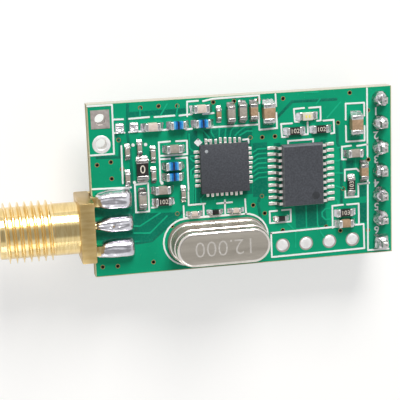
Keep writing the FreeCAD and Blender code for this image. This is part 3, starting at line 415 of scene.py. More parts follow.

# %% [markdown]
# ## Mask, seen copper and gaps
# The mask is one sheet with round openings at every hole. Where two copper areas part, the sheet looks
# darker, and where a single trace runs, it stands up a little and looks lighter. Some dark patches beside the
# jack's pools and round the two chips are painted shade. The places were read off the photograph and are
# written in millimetres on the board.

# %% Places of holes, gaps and traces
PITCH = 2.54
VIAS = (
    (5.4, 17.15), (7.25, 17.2), (9.15, 17.1), (12.85, 17.25), (15.0, 17.2), (17.6, 17.2), (20.15, 17.15),
    (27.25, 17.3), (29.2, 15.35), (25.95, 14.25), (3.05, 14.05), (16.6, 13.35), (17.85, 13.3),
    (19.2, 13.3), (0.75, 11.65), (2.15, 11.85), (3.25, 11.05), (2.15, 10.15), (29.2, 10.15), (26.4, 7.25),
    (17.65, 7.15), (16.7, 6.25), (8.7, 6.0), (17.9, 5.3), (8.1, 4.75), (24.5, 3.3), (19.8, 3.3),
    (26.05, 2.75), (29.1, 2.55), (6.0, 1.1), (2.3, 1.0), (0.75, 1.05),
)
CRYSTAL_LEADS = ((10.36, 2.87), (15.24, 2.87))
ANTENNA_PADS = ((1.3, 16.25), (1.3, 13.71))
PORT_PADS = tuple((19.75 + PITCH * pin, 1.7) for pin in range(4))
HEADER_PADS = tuple((BOARD_LENGTH - 1.3, 8.89 + PITCH * (3 - pin)) for pin in range(7))
# Gap areas are darker mask. The strips beside the jack's pools, round the square chip and along the oblong
# chip's sides are painted shade.
GAP_AND_SHADE_AREAS = (
    ((4.23, 6.37), (9.19, 6.12), (5.95, 3.38), (4.10, 3.54)), ((16.81, 12.76), (18.35, 12.76),
    (18.28, 7.08), (16.70, 7.10)), ((10.05, 14.47), (11.10, 14.48), (11.10, 6.81), (10.05, 6.79)),
    ((11.71, 14.47), (16.81, 14.33), (16.78, 13.28), (11.66, 13.33)), ((27.99, 7.39), (28.92, 7.43),
    (28.91, 6.25), (28.14, 6.20)), ((28.19, 5.55), (28.94, 5.54), (28.92, 3.43), (28.17, 3.49)),
    ((26.77, 10.21), (27.58, 10.20), (27.58, 9.40), (26.76, 9.41)), ((21.17, 5.79), (24.42, 5.74),
    (24.60, 3.46), (21.23, 3.42)), ((4.14, 16.80), (10.00, 16.82), (10.00, 16.31), (4.21, 16.29)),
    ((0.10, 7.15), (4.18, 6.85), (4.15, 6.05), (0.10, 6.30)), ((0.10, 4.75), (4.15, 4.62), (4.13, 3.58),
    (0.10, 3.90)), ((11.14, 13.24), (16.66, 13.24), (16.66, 12.85), (11.14, 12.85)), ((16.06, 12.80),
    (16.67, 12.80), (16.67, 8.20), (16.06, 8.20)), ((19.05, 12.60), (19.75, 12.60), (19.75, 5.80),
    (19.05, 5.80)), ((24.05, 12.60), (24.70, 12.60), (24.70, 5.80), (24.05, 5.80)), ((11.14, 8.15),
    (16.66, 8.15), (16.66, 7.45), (11.14, 7.45)),
)
GAP_LINES = (
    ((4.13, 17.53), (3.97, 14.48), (4.15, 12.94), (4.23, 9.54), (4.14, 6.53)), ((25.78, 16.73),
    (21.09, 16.77), (19.46, 15.23)), ((25.84, 14.02), (25.87, 12.12), (26.24, 11.36), (26.25, 8.17),
    (26.22, 5.81)), ((0.78, 12.42), (3.10, 12.30), (3.19, 14.03), (2.81, 14.56)), ((5.47, 6.32),
    (4.36, 4.73)), ((9.19, 6.12), (5.95, 3.38), (4.39, 3.25)), ((17.68, 7.77), (17.22, 6.43),
    (17.58, 3.94)),
)
TRACES = (
    ((26.25, 16.39), (24.78, 14.87)), ((27.80, 10.35), (27.80, 9.44)), ((22.35, 5.69), (22.36, 3.43)),
    ((23.55, 5.70), (23.57, 3.66), (23.93, 2.65), (24.52, 1.84)), ((20.27, 4.09), (21.16, 3.10),
    (21.13, 1.37)), ((11.21, 12.33), (10.58, 12.38), (10.24, 12.71), (10.24, 14.15)), ((11.19, 11.82),
    (10.31, 11.88)), ((11.17, 11.30), (10.54, 11.34), (10.25, 11.68)), ((11.14, 10.73), (10.73, 10.71),
    (10.30, 10.38), (10.15, 6.99)), ((11.18, 10.21), (10.81, 10.18), (10.49, 9.84), (10.37, 6.97)),
    ((11.21, 9.68), (10.95, 9.65), (10.70, 9.36), (10.63, 7.06)), ((12.29, 13.65), (11.70, 14.41),
    (10.99, 14.82)), ((12.81, 13.66), (12.52, 14.20), (12.54, 14.76)), ((13.33, 13.63), (13.42, 14.65)),
    ((13.96, 13.64), (14.10, 14.66)), ((14.48, 13.65), (14.60, 14.21), (15.03, 14.65)), ((15.00, 13.67),
    (15.54, 14.15), (16.29, 14.61)), ((15.53, 13.68), (16.27, 14.04), (16.80, 14.01)), ((13.76, 7.76),
    (13.74, 7.23)), ((12.71, 7.79), (12.69, 7.10)), ((11.66, 7.82), (11.22, 7.33), (11.21, 6.91)),
    ((2.33, 5.22), (4.79, 5.01), (6.91, 6.20)), ((4.13, 4.33), (5.78, 4.19), (7.62, 5.83)), ((25.29, 5.56),
    (24.85, 5.22), (24.46, 5.25), (24.08, 4.91), (24.07, 4.48), (24.45, 4.07), (24.94, 4.08)),
    ((25.86, 11.60), (26.57, 11.76)), ((25.47, 10.25), (25.90, 10.22), (26.67, 10.69)), ((25.45, 8.98),
    (26.53, 8.90)), ((25.43, 7.65), (26.40, 7.30)), ((25.41, 6.36), (25.84, 5.95), (25.83, 5.52)),
    ((20.66, 11.76), (20.34, 11.78)), ((22.38, 17.60), (23.87, 17.60)), ((24.06, 16.84), (23.63, 16.35)),
    ((8.12, 17.35), (7.35, 16.18)), ((5.36, 17.12), (5.32, 16.22)), ((9.23, 17.18), (8.98, 16.08)),
)
CHIP_PITCH = 0.5
FAN_START = ((16.10, 8.75), (16.75, 8.75), (17.35, 9.1), (18.2, 9.1))
CHIP_FAN = tuple(tuple((x, y + CHIP_PITCH * row) for x, y in FAN_START) for row in range(7))
print(len(VIAS), "vias,", len(TRACES) + len(CHIP_FAN), "traces")

# %% [markdown]
# Both sides of the board get a sheet of mask. A gap or a trace on it is a round-ended stroke, the way a
# plotter would draw it: for each leg of its line, a disc whose front half is pushed to the leg's far end.

# %% Mask sheets
MARGIN = 0.09
UPPER_MARGIN = 0.03
VIA_OPENING = 0.215
ANTENNA_OPENING = 0.66
PIN_OPENING = 0.52
LEAD_OPENING = 0.4
MASK_TOP = FACE + 0.030
SUNK = MASK_TOP - 0.01
MASK_LOWEST = UNDERSIDE - 0.030
LEG_LIFT = 0.0006
GAP_WIDTH = 0.34
TRACE_WIDTH = 0.17
TOP_SHARE = 0.86


def stroke(bm, points, width, low, high, sides=10, material=0):
    """A round-ended bar along each leg; legs that meet lie a hair apart in height and share no face."""
    before = set(bm.faces)
    half = width / 2 / math.cos(math.pi / sides)
    for number, (start, end) in enumerate(zip(points, points[1:])):
        leg = Vector(end) - Vector(start)
        heading = Matrix.Rotation(math.atan2(leg.y, leg.x), 4, "Z")
        spot = at(*start, (low + high) / 2 + LEG_LIFT * (number % 3)) @ heading
        made = bmesh.ops.create_cone(bm, cap_ends=True, segments=sides, radius1=half,
                                     radius2=half * TOP_SHARE, depth=high - low,
                                     matrix=turned(180 / sides))["verts"]
        front = [vert for vert in made if vert.co.x > 0]
        bmesh.ops.translate(bm, vec=(leg.length, 0, 0), verts=front)
        bmesh.ops.transform(bm, matrix=spot, verts=made)
    paint(bm, before, material)


def openings(spots, radius):
    """Round openings of one size at places on the board."""
    return [(x, y, radius) for x, y in flat(spots)]


def mask_sheet(holes, low, high):
    """A sheet over the whole board with round openings, between two heights."""
    bm = bmesh.new()
    left, right = BOARD_LOW.x + MARGIN, BOARD_HIGH.x - MARGIN
    near, far = BOARD_LOW.y + MARGIN, BOARD_HIGH.y - UPPER_MARGIN
    edges = outline(bm, [(left, near, low), (right, near, low), (right, far, low), (left, far, low)])
    for x, y, radius in holes:
        edges += ring(bm, radius, at(x, y, low), 20)
    fill(bm, edges, (0, 0, high - low))
    return bm


holes = openings(VIAS, VIA_OPENING) + openings(ANTENNA_PADS, ANTENNA_OPENING)
holes += openings(PORT_PADS + HEADER_PADS, PIN_OPENING)
bm = mask_sheet(holes, FACE - 0.01, MASK_TOP)
# Darker gap areas: partly copper-free mask, partly painted shade.
for area in GAP_AND_SHADE_AREAS:
    fill(bm, outline(bm, [(x, y, SUNK) for x, y in flat(area)]), (0, 0, 0.014), 1)
for points in GAP_LINES:
    stroke(bm, flat(points), GAP_WIDTH, SUNK, MASK_TOP + 0.006, material=1)
for points in TRACES + CHIP_FAN:
    stroke(bm, flat(points), TRACE_WIDTH, SUNK, MASK_TOP + 0.030, material=2)
finish_piece(bm, "mask_top", [MASK_OVER_COPPER, MASK_OVER_CORE_AND_SHADE, MASK_ON_TRACE])

bm = mask_sheet(holes + openings(CRYSTAL_LEADS, LEAD_OPENING), MASK_LOWEST, UNDERSIDE + 0.01)
for points in GAP_LINES[:3]:
    stroke(bm, flat(points), GAP_WIDTH, MASK_LOWEST - 0.006, UNDERSIDE, material=1)
finish_piece(bm, "mask_back", [MASK_OVER_COPPER, MASK_OVER_CORE_AND_SHADE])

# %% [markdown]
# ## Ink
# The white lines frame the places of the parts. They were pushed through a screen, so they have one width,
# round ends and a soft upper edge. Lines that would run under a part stop where the part's solder begins.

# %% Places of printed lines
INK_LINES = (
    ((0.10, 17.64), (2.56, 17.64), (2.51, 12.67), (0.13, 12.67)), ((2.54, 16.15), (3.60, 16.11)),
    ((4.20, 16.11), (6.23, 16.16)), ((6.79, 16.12), (8.83, 16.14)), ((9.34, 16.10), (10.63, 16.17)),
    ((2.57, 14.78), (3.68, 14.75)), ((4.14, 14.77), (8.11, 14.75)), ((9.95, 14.65), (10.57, 14.68)),
    ((12.12, 14.69), (17.45, 14.66)), ((3.29, 13.41), (3.25, 9.61)), ((0.13, 9.22), (4.06, 9.11)),
    ((8.26, 13.54), (7.10, 13.52), (7.11, 9.47)), ((8.88, 13.51), (9.99, 13.50), (9.98, 12.11),
    (7.20, 12.12)), ((7.19, 11.78), (8.18, 11.77)), ((8.80, 11.76), (9.94, 11.77), (9.96, 8.37)),
    ((5.77, 9.42), (4.46, 9.35), (4.46, 6.47), (5.81, 6.48), (5.82, 9.42)), ((6.11, 6.84), (6.63, 6.85)),
    ((11.30, 17.49), (10.17, 17.47), (10.13, 16.00)), ((11.81, 17.42), (12.85, 17.59), (17.48, 17.64)),
    ((12.85, 16.13), (11.76, 16.10)), ((17.64, 17.64), (17.64, 16.84)), ((17.53, 15.82), (17.57, 14.09),
    (19.44, 14.14), (19.40, 15.70)), ((19.39, 16.42), (19.35, 17.64)), ((22.34, 16.04), (21.26, 15.99),
    (21.34, 14.68), (21.78, 14.63)), ((22.88, 16.01), (24.08, 16.03), (24.09, 14.63), (23.71, 14.61)),
    ((21.04, 14.53), (19.87, 14.53), (19.94, 13.17), (20.58, 13.17)), ((22.69, 14.54), (22.70, 13.29),
    (22.08, 13.27)), ((24.38, 14.58), (25.49, 14.60), (25.53, 13.22), (25.19, 13.19)), ((20.57, 12.45),
    (20.57, 12.72), (23.24, 12.73), (23.24, 12.47)), ((26.78, 14.53), (26.79, 16.19), (28.79, 16.17),
    (28.80, 14.82)), ((26.79, 13.85), (26.81, 12.21), (28.81, 12.20), (28.81, 13.71)), ((27.33, 11.75),
    (26.33, 11.71), (26.32, 10.37), (26.77, 10.35)), ((27.98, 11.68), (29.07, 11.76)), ((26.61, 8.09),
    (26.62, 9.25), (27.90, 9.26), (28.15, 8.99)), ((28.05, 7.60), (28.07, 6.27), (26.65, 6.28),
    (26.64, 6.96)), ((28.08, 7.60), (29.26, 7.66)), ((29.11, 17.64), (29.10, 10.46)), ((29.12, 9.82),
    (29.07, 0.35), (31.37, 0.31)), ((26.38, 5.52), (25.20, 5.49), (25.21, 3.13)), ((26.82, 5.50),
    (28.09, 5.51), (28.10, 3.41)), ((19.22, 5.45), (18.43, 5.44), (18.44, 4.19), (20.68, 4.19),
    (20.69, 5.48), (19.76, 5.47)), ((18.52, 3.11), (28.61, 3.25), (28.67, 0.61), (18.54, 0.52),
    (18.52, 3.11)), ((9.37, 6.74), (9.38, 5.49), (15.38, 5.40)), ((9.93, 8.16), (9.91, 6.80),
    (11.63, 6.82)), ((11.45, 6.78), (11.45, 5.57)), ((12.88, 6.73), (14.47, 6.75)), ((13.71, 7.02),
    (13.71, 5.59)), ((15.85, 6.96), (15.91, 5.41), (15.38, 5.40)), ((15.83, 13.18), (16.38, 13.20),
    (16.39, 12.83)), ((11.15, 13.54), (11.47, 13.21), (11.14, 12.92), (10.83, 13.25), (11.15, 13.54)),
)
INK_DOTS = ((11.15, 13.23), (4.48, 13.43), (5.75, 13.39), (7.25, 9.31), (4.44, 9.58), (12.28, 13.35))
print(len(INK_LINES), "printed lines and", len(INK_DOTS), "dots")

# %% [markdown]
# The crystal's own line is a bar with half-round ends. The pin numbers are plain characters: text is made a
# flat mesh first and moved to its place after that.

# %% Printed ink
INK_TOP = MASK_TOP + 0.045
INK_WIDTH = 0.19
INK_DOT = 0.18
CRYSTAL_MARK = (12.67, 2.96)
CRYSTAL_MARK_SIZE = (11.03, 4.9)
PIN_DIGIT_SIZE = 1.15


def bar_outline(centre, length, width, steps=14):
    """Points round a bar with half-round ends."""
    radius = width / 2
    reach = length / 2 - radius
    points = []
    for side in (1, -1):
        for step in range(steps + 1):
            angle = math.pi * (step / steps - 0.5)
            x = centre[0] + side * (reach + radius * math.cos(angle))
            points.append((x, centre[1] + side * radius * math.sin(angle)))
    return points + points[:1]


def disc(bm, radius, low, high, x, y, sides, top=None, material=0):
    """A short round plate between two heights; top is the radius of its upper face."""
    before = set(bm.faces)
    upper = radius if top is None else top
    bmesh.ops.create_cone(bm, cap_ends=True, segments=sides, radius1=radius, radius2=upper, depth=high - low,
                          matrix=at(x, y, (low + high) / 2) @ turned(180 / sides))
    paint(bm, before, material)


def digits(bm, text, size, matrix, depth=0.015, material=0, weight=0.0):
    """Plain characters as a flat mesh, centred on a place."""
    before = set(bm.faces)
    curve = bpy.data.curves.new("characters", "FONT")
    curve.body = text
    curve.size = size
    curve.extrude = depth / 2
    curve.offset = weight
    curve.align_x = "CENTER"
    curve.align_y = "CENTER"
    curve.resolution_u = 3
    holder = bpy.data.objects.new("characters", curve)
    bpy.context.scene.collection.objects.link(holder)
    bpy.context.view_layer.update()
    mesh = bpy.data.meshes.new_from_object(holder.evaluated_get(bpy.context.evaluated_depsgraph_get()))
    mesh.transform(matrix)
    bm.from_mesh(mesh)
    bpy.data.objects.remove(holder)
    bpy.data.curves.remove(curve)
    bpy.data.meshes.remove(mesh)
    paint(bm, before, material)


bm = bmesh.new()
for points in INK_LINES + (bar_outline(CRYSTAL_MARK, *CRYSTAL_MARK_SIZE),):
    stroke(bm, flat(points), INK_WIDTH, SUNK, INK_TOP)
for x, y in flat(INK_DOTS):
    disc(bm, INK_DOT, SUNK, INK_TOP, x, y, 14, top=INK_DOT - 0.02)
for pin, (x, y) in enumerate(flat(HEADER_PADS[:-1]), start=1):
    spot = at(x - 0.40, y - PITCH / 2, MASK_TOP + 0.02) @ turned(180)
    digits(bm, str(pin), PIN_DIGIT_SIZE, spot, weight=0.02)
finish_piece(bm, "printed_ink", [INK], smooth=False)

# %% [markdown]
# ## Plated holes
# Each small hole is lined with copper that turns out over the board's face as a narrow rim. One rim is turned
# on a lathe and stamped at every place. Its bore is painted almost black, a painted shade for the deep hole.

# %% Plated holes
BORE = 0.165


def lathe(bm, profile, centre, axis="Z", steps=48, material=0):
    """Spins a line of (radius, place along the axis) pairs round an axis through a centre."""
    before = set(bm.faces)
    lying = axis == "X"
    points = [Vector(centre) + Vector((along, 0, radius) if lying else (radius, 0, along))
              for radius, along in profile]
    ends_on_axis = profile[0][0] == 0 and profile[-1][0] == 0
    geom = line(bm, points, closed=not ends_on_axis)
    bmesh.ops.spin(bm, geom=geom, cent=centre, axis=(1, 0, 0) if lying else (0, 0, 1), angle=math.tau,
                   steps=steps, use_merge=True)
    bmesh.ops.remove_doubles(bm, verts=bm.verts, dist=1e-4)
    paint(bm, before, material)


def stamp(target, drawn, matrix):
    """Adds a copy of one drawn mesh to another at a place."""
    mesh = bpy.data.meshes.new("stamp")
    drawn.to_mesh(mesh)
    mesh.transform(matrix)
    target.from_mesh(mesh)
    bpy.data.meshes.remove(mesh)


rim = bmesh.new()
lathe(rim, (
    (BORE, UNDERSIDE - 0.045), (0.225, UNDERSIDE - 0.045), (0.23, UNDERSIDE - 0.02),
    (0.205, UNDERSIDE + 0.02), (0.205, FACE - 0.02), (0.23, MASK_TOP), (0.222, MASK_TOP + 0.012),
    (0.175, MASK_TOP + 0.012), (BORE, MASK_TOP)), (0, 0, 0), steps=20)
# The bore's faces get the lining painted almost black, a painted shade.
for face in rim.faces:
    if max(vert.co.xy.length for vert in face.verts) < BORE + 0.005:
        face.material_index = 1
bm = bmesh.new()
for x, y in flat(VIAS):
    stamp(bm, rim, at(x, y))
rim.free()
finish_piece(bm, "plated_holes", [COPPER_RIM, COPPER_LINING_PAINTED_SHADE])

# %% [markdown]
# The two antenna pads are open holes for a wire. Both are turned, and the first gets a square plate round its
# hole. The square one is painted grey, a painted dark reflection, and the round one is still pale from the
# hot air.

# %% Antenna pads
PLATE_HOLE = 0.585
# The square pad's grey tin is a painted dark reflection.
for (x, y), shape, finish in zip(flat(ANTENNA_PADS), ("square", "round"), (TIN_DULL, TIN_PALE)):
    name = "antenna_pad_" + shape
    low, high = node_box(name)
    bm = bmesh.new()
    lathe(bm, (
        (0.55, low.z), (0.90, low.z), (0.92, low.z + 0.03), (0.90, UNDERSIDE), (0.62, UNDERSIDE),
        (0.62, FACE), (0.90, FACE), (0.92, high.z - 0.03), (0.88, high.z - 0.005), (0.60, high.z - 0.005),
        (0.55, high.z - 0.04)), (x, y, 0))
    if shape == "square":
        reach = (high.x - low.x) / 2
        edges = outline(bm, [(x + a * reach, y + b * reach, FACE) for a, b in CORNERS])
        fill(bm, edges + ring(bm, PLATE_HOLE, at(x, y, FACE)), (0, 0, high.z - FACE))
    finish_piece(bm, name + "_tinned", [finish], [name])

# %% [markdown]
# ## Coaxial jack
# The jack was turned from brass bar, its thread cut as a true helix of thirty-six turns to the inch, and its
# flange and legs milled square. First a turned tube gives the neck, barrel and bore.

# %% Turned tube
JACK_LOW, JACK_HIGH = node_box("jack_shell")
AXIS_Y = (JACK_LOW.y + JACK_HIGH.y) / 2
AXIS_Z = FACE + 0.5
JACK_AXIS = (0, AXIS_Y, AXIS_Z)
JACK_FRONT = JACK_LOW.x
FLANGE_BACK = BOARD_LOW.x - 0.1
FLANGE_FRONT = FLANGE_BACK - 1.5
THREAD_PITCH = 25.4 / 36
THREAD_TURNS = 7
THREAD_START = JACK_FRONT + 0.52
THREAD_END = THREAD_START + THREAD_PITCH * THREAD_TURNS
BARREL = 2.65
BARREL_BACK = FLANGE_FRONT + 0.02
CORE_SEAT = JACK_FRONT + 2.0

shell = bmesh.new()
lathe(shell, (
    (2.30, JACK_FRONT + 0.12), (2.42, JACK_FRONT), (2.50, JACK_FRONT), (2.60, JACK_FRONT + 0.10),
    (2.60, THREAD_START), (2.56, THREAD_START + 0.05), (2.56, THREAD_END - 0.05), (BARREL, THREAD_END),
    (BARREL, BARREL_BACK), (2.05, BARREL_BACK), (2.05, CORE_SEAT), (2.30, CORE_SEAT)),
      JACK_AXIS, axis="X", steps=64)
print("tube:", len(shell.faces), "faces")

# %% [markdown]
# The thread is its own ring. One fin with hollow flanks, given as shares of the pitch and of the height, is
# spun round the axis while it moves along it. It gets two turns more than it needs and is then cut off
# square at both ends.

# %% Cut thread
THREAD_ROOT = 2.60
THREAD_HEIGHT = 0.47
STEPS_A_TURN = 72
FLANK = ((0.50, 0.0), (0.30, 0.0), (0.23, 0.07), (0.17, 0.23), (0.12, 0.52), (0.08, 0.88), (0.045, 1.0))


def across(x):
    """A place on the jack's axis, turned so that a circle stands across it."""
    return at(x, AXIS_Y, AXIS_Z) @ turned(90, "Y")


def pour(target, drawn, matrix=Matrix.Identity(4)):
    """Adds a drawn mesh to another at a place and frees it."""
    stamp(target, drawn, matrix)
    drawn.free()


fin = [(-share, rise) for share, rise in FLANK] + [(share, rise) for share, rise in reversed(FLANK)]
first_crest = THREAD_START - THREAD_PITCH * 0.60
turns = THREAD_TURNS + 2
thread = bmesh.new()
geom = line(thread, [(first_crest + THREAD_PITCH * share, AXIS_Y, AXIS_Z + THREAD_ROOT + THREAD_HEIGHT * rise)
                     for share, rise in fin])
bmesh.ops.spin(thread, geom=geom, cent=JACK_AXIS, axis=(1, 0, 0), dvec=(THREAD_PITCH / STEPS_A_TURN, 0, 0),
               angle=math.tau * turns, steps=STEPS_A_TURN * turns, use_merge=False)
bmesh.ops.remove_doubles(thread, verts=thread.verts, dist=1e-4)
for end, outward in ((THREAD_START, (-1, 0, 0)), (THREAD_END, (1, 0, 0))):
    cut = bmesh.ops.bisect_plane(thread, geom=thread.verts[:] + thread.edges[:] + thread.faces[:], dist=1e-5,
                                 plane_co=(end, 0, 0), plane_no=outward, clear_outer=True)
    edges = sort_out(cut["geom_cut"], BMEdge) + ring(thread, 2.5, across(end))
    bmesh.ops.triangle_fill(thread, edges=edges, normal=outward, use_beauty=True)
paint(thread, (), 2)
print("thread:", len(thread.faces), "faces")
pour(shell, thread)

# %% [markdown]
# The flange is a square plate with a round hole for the centre pin, rounded along its outer edges. Four
# square legs reach from it along the board, two above and two below, and grip the board's edge.

# %% Flange and legs
FLANGE_HOLE = 1.5
OUTER_SIDES = 2.9
SHARP = 1.2
LEG_SHIFT = 2.55
LEG_HALF = 0.5
LEG_HEIGHT = 1.0
LEG_GAP = 0.05


def bevel(bm, edges, offset, segments):
    """Rounds edges."""
    bmesh.ops.bevel(bm, geom=edges, offset=offset, offset_type="OFFSET", segments=segments, profile=0.5,
                    affect="EDGES", clamp_overlap=True, material=-1)


def block(bm, low, high, rounding=0.0, segments=2, material=0):
    """A box between two corners with rounded edges."""
    before = set(bm.faces)
    low, high = Vector(low), Vector(high)
    verts = bmesh.ops.create_cube(bm, size=1.0)["verts"]
    bmesh.ops.scale(bm, vec=high - low, verts=verts)
    bmesh.ops.translate(bm, vec=(low + high) / 2, verts=verts)
    if rounding:
        bevel(bm, list({edge for vert in verts for edge in vert.link_edges}), rounding, segments)
    paint(bm, before, material)


def far_out(edge):
    """Whether an edge of the flange reaches its outer sides."""
    return max(abs(place) for vert in edge.verts for place in (vert.co - Vector(JACK_AXIS)).yz) > OUTER_SIDES


reach = (JACK_HIGH.y - JACK_LOW.y) / 2
flange = bmesh.new()
edges = outline(flange, [(FLANGE_FRONT, AXIS_Y + a * reach, AXIS_Z + b * reach) for a, b in CORNERS])
fill(flange, edges + ring(flange, FLANGE_HOLE, across(FLANGE_FRONT)), (FLANGE_BACK - FLANGE_FRONT, 0, 0))
bmesh.ops.recalc_face_normals(flange, faces=flange.faces)
sharp = [edge for edge in flange.edges if edge.is_manifold and edge.calc_face_angle() > SHARP]
bevel(flange, [edge for edge in sharp if far_out(edge)], 0.13, 2)
paint(flange, (), 1)
pour(shell, flange)
for side in (-1, 1):
    near, far = AXIS_Y + side * LEG_SHIFT - LEG_HALF, AXIS_Y + side * LEG_SHIFT + LEG_HALF
    for low, high in ((FACE + LEG_GAP, FACE + LEG_HEIGHT), (JACK_LOW.z, UNDERSIDE - LEG_GAP)):
        block(shell, (FLANGE_BACK - 0.2, near, low), (JACK_HIGH.x, far, high), 0.07)
finish_piece(shell, "jack_shell_threaded", [GILT, GILT_FLAT, GILT_THREAD], ["jack_shell"],
             crease=28)

# %% [markdown]
# The white core is turned from fluoropolymer and pressed in against a lip. The centre contact is a slotted
# socket in front and a plain pin behind, which lies on the board under its own solder. The four slots are
# not cut: they are painted shade, dark strips along the socket's front.

# %% Core and contact
low, high = node_box("jack_insulator")
bm = bmesh.new()
lathe(bm, (
    (0.66, low.x + 0.04), (0.70, low.x), (2.0, low.x), (2.04, low.x + 0.05), (2.04, high.x - 0.02),
    (1.98, high.x), (0.41, high.x), (0.41, high.x - 0.48), (0.66, high.x - 0.5)), JACK_AXIS, axis="X")
finish_piece(bm, "jack_core_white", [WHITE_CORE], ["jack_insulator"])

SOCKET_BACK = BOARD_LOW.x - 1.125
SLOT_LENGTH = 1.6
SLOT_HALF = 0.075
low, high = node_box("jack_contact")
bm = bmesh.new()
lathe(bm, (
    (0.45, low.x + 0.03), (0.50, low.x), (0.58, low.x), (0.635, low.x + 0.08), (0.635, SOCKET_BACK),
    (0.38, SOCKET_BACK + 0.05), (0.38, high.x - 0.12), (0.28, high.x), (0.0, high.x), (0.0, low.x + 2.5),
    (0.45, low.x + 2.3)), JACK_AXIS, axis="X", steps=32)
# Faces along the four slots get painted shade instead of a cut.
for face in bm.faces:
    middle = face.calc_center_median()
    if middle.x < low.x + SLOT_LENGTH and min(abs(middle.y - AXIS_Y), abs(middle.z - AXIS_Z)) < SLOT_HALF:
        face.material_index = 1
finish_piece(bm, "jack_contact_slotted", [GILT, DARK_PRINT_AND_SLOT_SHADE], ["jack_contact"])

# %% [markdown]
# ## Solder on the jack
# Each leg lies under a long pool of solder. It wetted the leg and the pad, so it is lower at its edges, and
# it froze from both ends, which left a crease along it. A flat grid is drawn in to the pool's outline, raised
# into its two ridges and then pushed about by two sizes of noise.

# %% Solder pools


def smooth_step(value):
    """Rises smoothly from 0 to 1 while the value does."""
    value = min(max(value, 0.0), 1.0)
    return value * value * (3 - 2 * value)


def pool(bm, low, high, seed, tip=0.8, slant=0.0, crease=0.0, bump=0.0):
    """A frozen pool between two corners: tip is its width at the left end, slant the lean of that end."""
    drawn = bmesh.new()
    bmesh.ops.create_grid(drawn, x_segments=44, y_segments=24, size=1.0)
    centre, half = (low + high) / 2, (high - low) / 2
    height = high.z - low.z
    for vert in drawn.verts:
        along, aside = vert.co.x, vert.co.y
        width = tip + (1 - tip) * smooth_step((along + 1) / 0.9)
        width *= math.sqrt(1 - max((abs(along) - 0.78) / 0.22, 0) ** 3)
        wave = 0.10 * math.sin(along * 2.6 + seed)
        rise = math.sqrt(1 - abs(aside) ** 3) * math.sqrt(1 - abs(along) ** 7)
        dent = math.exp(-((aside - wave) / 0.22) ** 2) * (1 - along ** 2)
        knob = math.exp(-((along - 0.05) / 0.09) ** 2 - ((aside - wave) / 0.22) ** 2)
        lean = slant * aside * (1 - smooth_step((along + 1) / 0.6))
        spot = Vector((centre.x + half.x * along + lean, centre.y + half.y * width * aside, 0))
        coarse = noise.noise(spot / 0.8 + Vector((seed, 0, seed)))
        fine = noise.noise(spot / 0.22 + Vector((0, seed, seed)))
        top = (height - 0.06 - crease * dent + bump * knob + 0.06 * coarse + 0.012 * fine) * rise
        vert.co = (spot.x, spot.y, low.z + min(top, height))
    bmesh.ops.contextual_create(drawn, geom=[edge for edge in drawn.edges if edge.is_boundary])
    pour(bm, drawn)


for name, left, right, *shape in (
        ("jack_joint_upper", -0.05, 0.20, 0.80, 0.0, 0.10, 0.0),
        ("jack_joint_contact", -0.36, 0.35, 0.52, 0.0, 0.16, 0.22),
        ("jack_joint_lower", 0.05, 0.32, 0.86, 0.30, 0.08, 0.0)):
    low, high = node_box(name)
    bm = bmesh.new()
    pool(bm, low + Vector((left, -0.08, 0)), high + Vector((right, 0.08, 0)), len(name) * 1.7, *shape)
    finish_piece(bm, name + "_frozen", [SOLDER_CREASED], [name], crease=60)

# %% [markdown]
# The two pools under the board are drawn upright like the others and then mirrored downwards.

# %% Solder under the board
POOL_HALF = 0.95
low, high = node_box("jack_joints_back")
bm = bmesh.new()
for side in (-1, 1):
    middle = AXIS_Y + side * LEG_SHIFT
    near, far = Vector((low.x, middle - POOL_HALF, -high.z)), Vector((high.x, middle + POOL_HALF, -low.z))
    pool(bm, near, far, 9.0 + side, crease=0.1)
bmesh.ops.scale(bm, vec=(1, 1, -1), verts=bm.verts)
finish_piece(bm, "jack_joints_back_frozen", [SOLDER_CREASED], ["jack_joints_back"], crease=60)

# %% [markdown]
# ## Header
# A moulded strip under the board holds seven square pins. The strip is a row of seven blocks with notches
# between them, joined by a core. Each pin is broken off with a small slope at both ends.

# %% Header strip and pins
STRIP_LOW, STRIP_HIGH = node_box("header_strip")
PIN_LOW, PIN_HIGH = node_box("header_pins")
PIN_HALF = 0.32
PIN_SLOPE = 0.22
NOTCH = 0.22
BLOCK_HALF = 1.25


def block_at(bm, x, y, half_x, half_y, low, high, *finish):
    """A box round a place between two heights; finish is its rounding, segments and material."""
    block(bm, (x - half_x, y - half_y, low), (x + half_x, y + half_y, high), *finish)


bm = bmesh.new()
for x, y in flat(HEADER_PADS):
    near, far = max(y - BLOCK_HALF, STRIP_LOW.y), min(y + BLOCK_HALF, STRIP_HIGH.y)
    block(bm, (STRIP_LOW.x, near, STRIP_LOW.z), (STRIP_HIGH.x, far, STRIP_HIGH.z - 0.1), NOTCH, 2)
block(bm, STRIP_LOW + Vector((0.35, 0.1, 0.05)), STRIP_HIGH - Vector((0.35, 0.1, 0.04)), 0.05, 1)
finish_piece(bm, "header_strip_moulded", [BLACK_PLASTIC], ["header_strip"])

bm = bmesh.new()
for x, y in flat(HEADER_PADS):
    before = set(bm.verts)
    block_at(bm, x, y, PIN_HALF, PIN_HALF, PIN_LOW.z, FACE)
    block_at(bm, x, y, PIN_HALF, PIN_HALF, FACE, PIN_HIGH.z)
    fresh = {edge for vert in bm.verts if vert not in before for edge in vert.link_edges}
    level = [edge for edge in fresh if edge.verts[0].co.z == edge.verts[1].co.z]
    bevel(bm, [edge for edge in level if abs(edge.verts[0].co.z - FACE) > 1], PIN_SLOPE, 1)
for face in bm.faces:
    face.material_index = int(face.calc_center_median().z > FACE)
finish_piece(bm, "header_pins_square", [GILT, TIN_WETTED], ["header_pins"], crease=20)

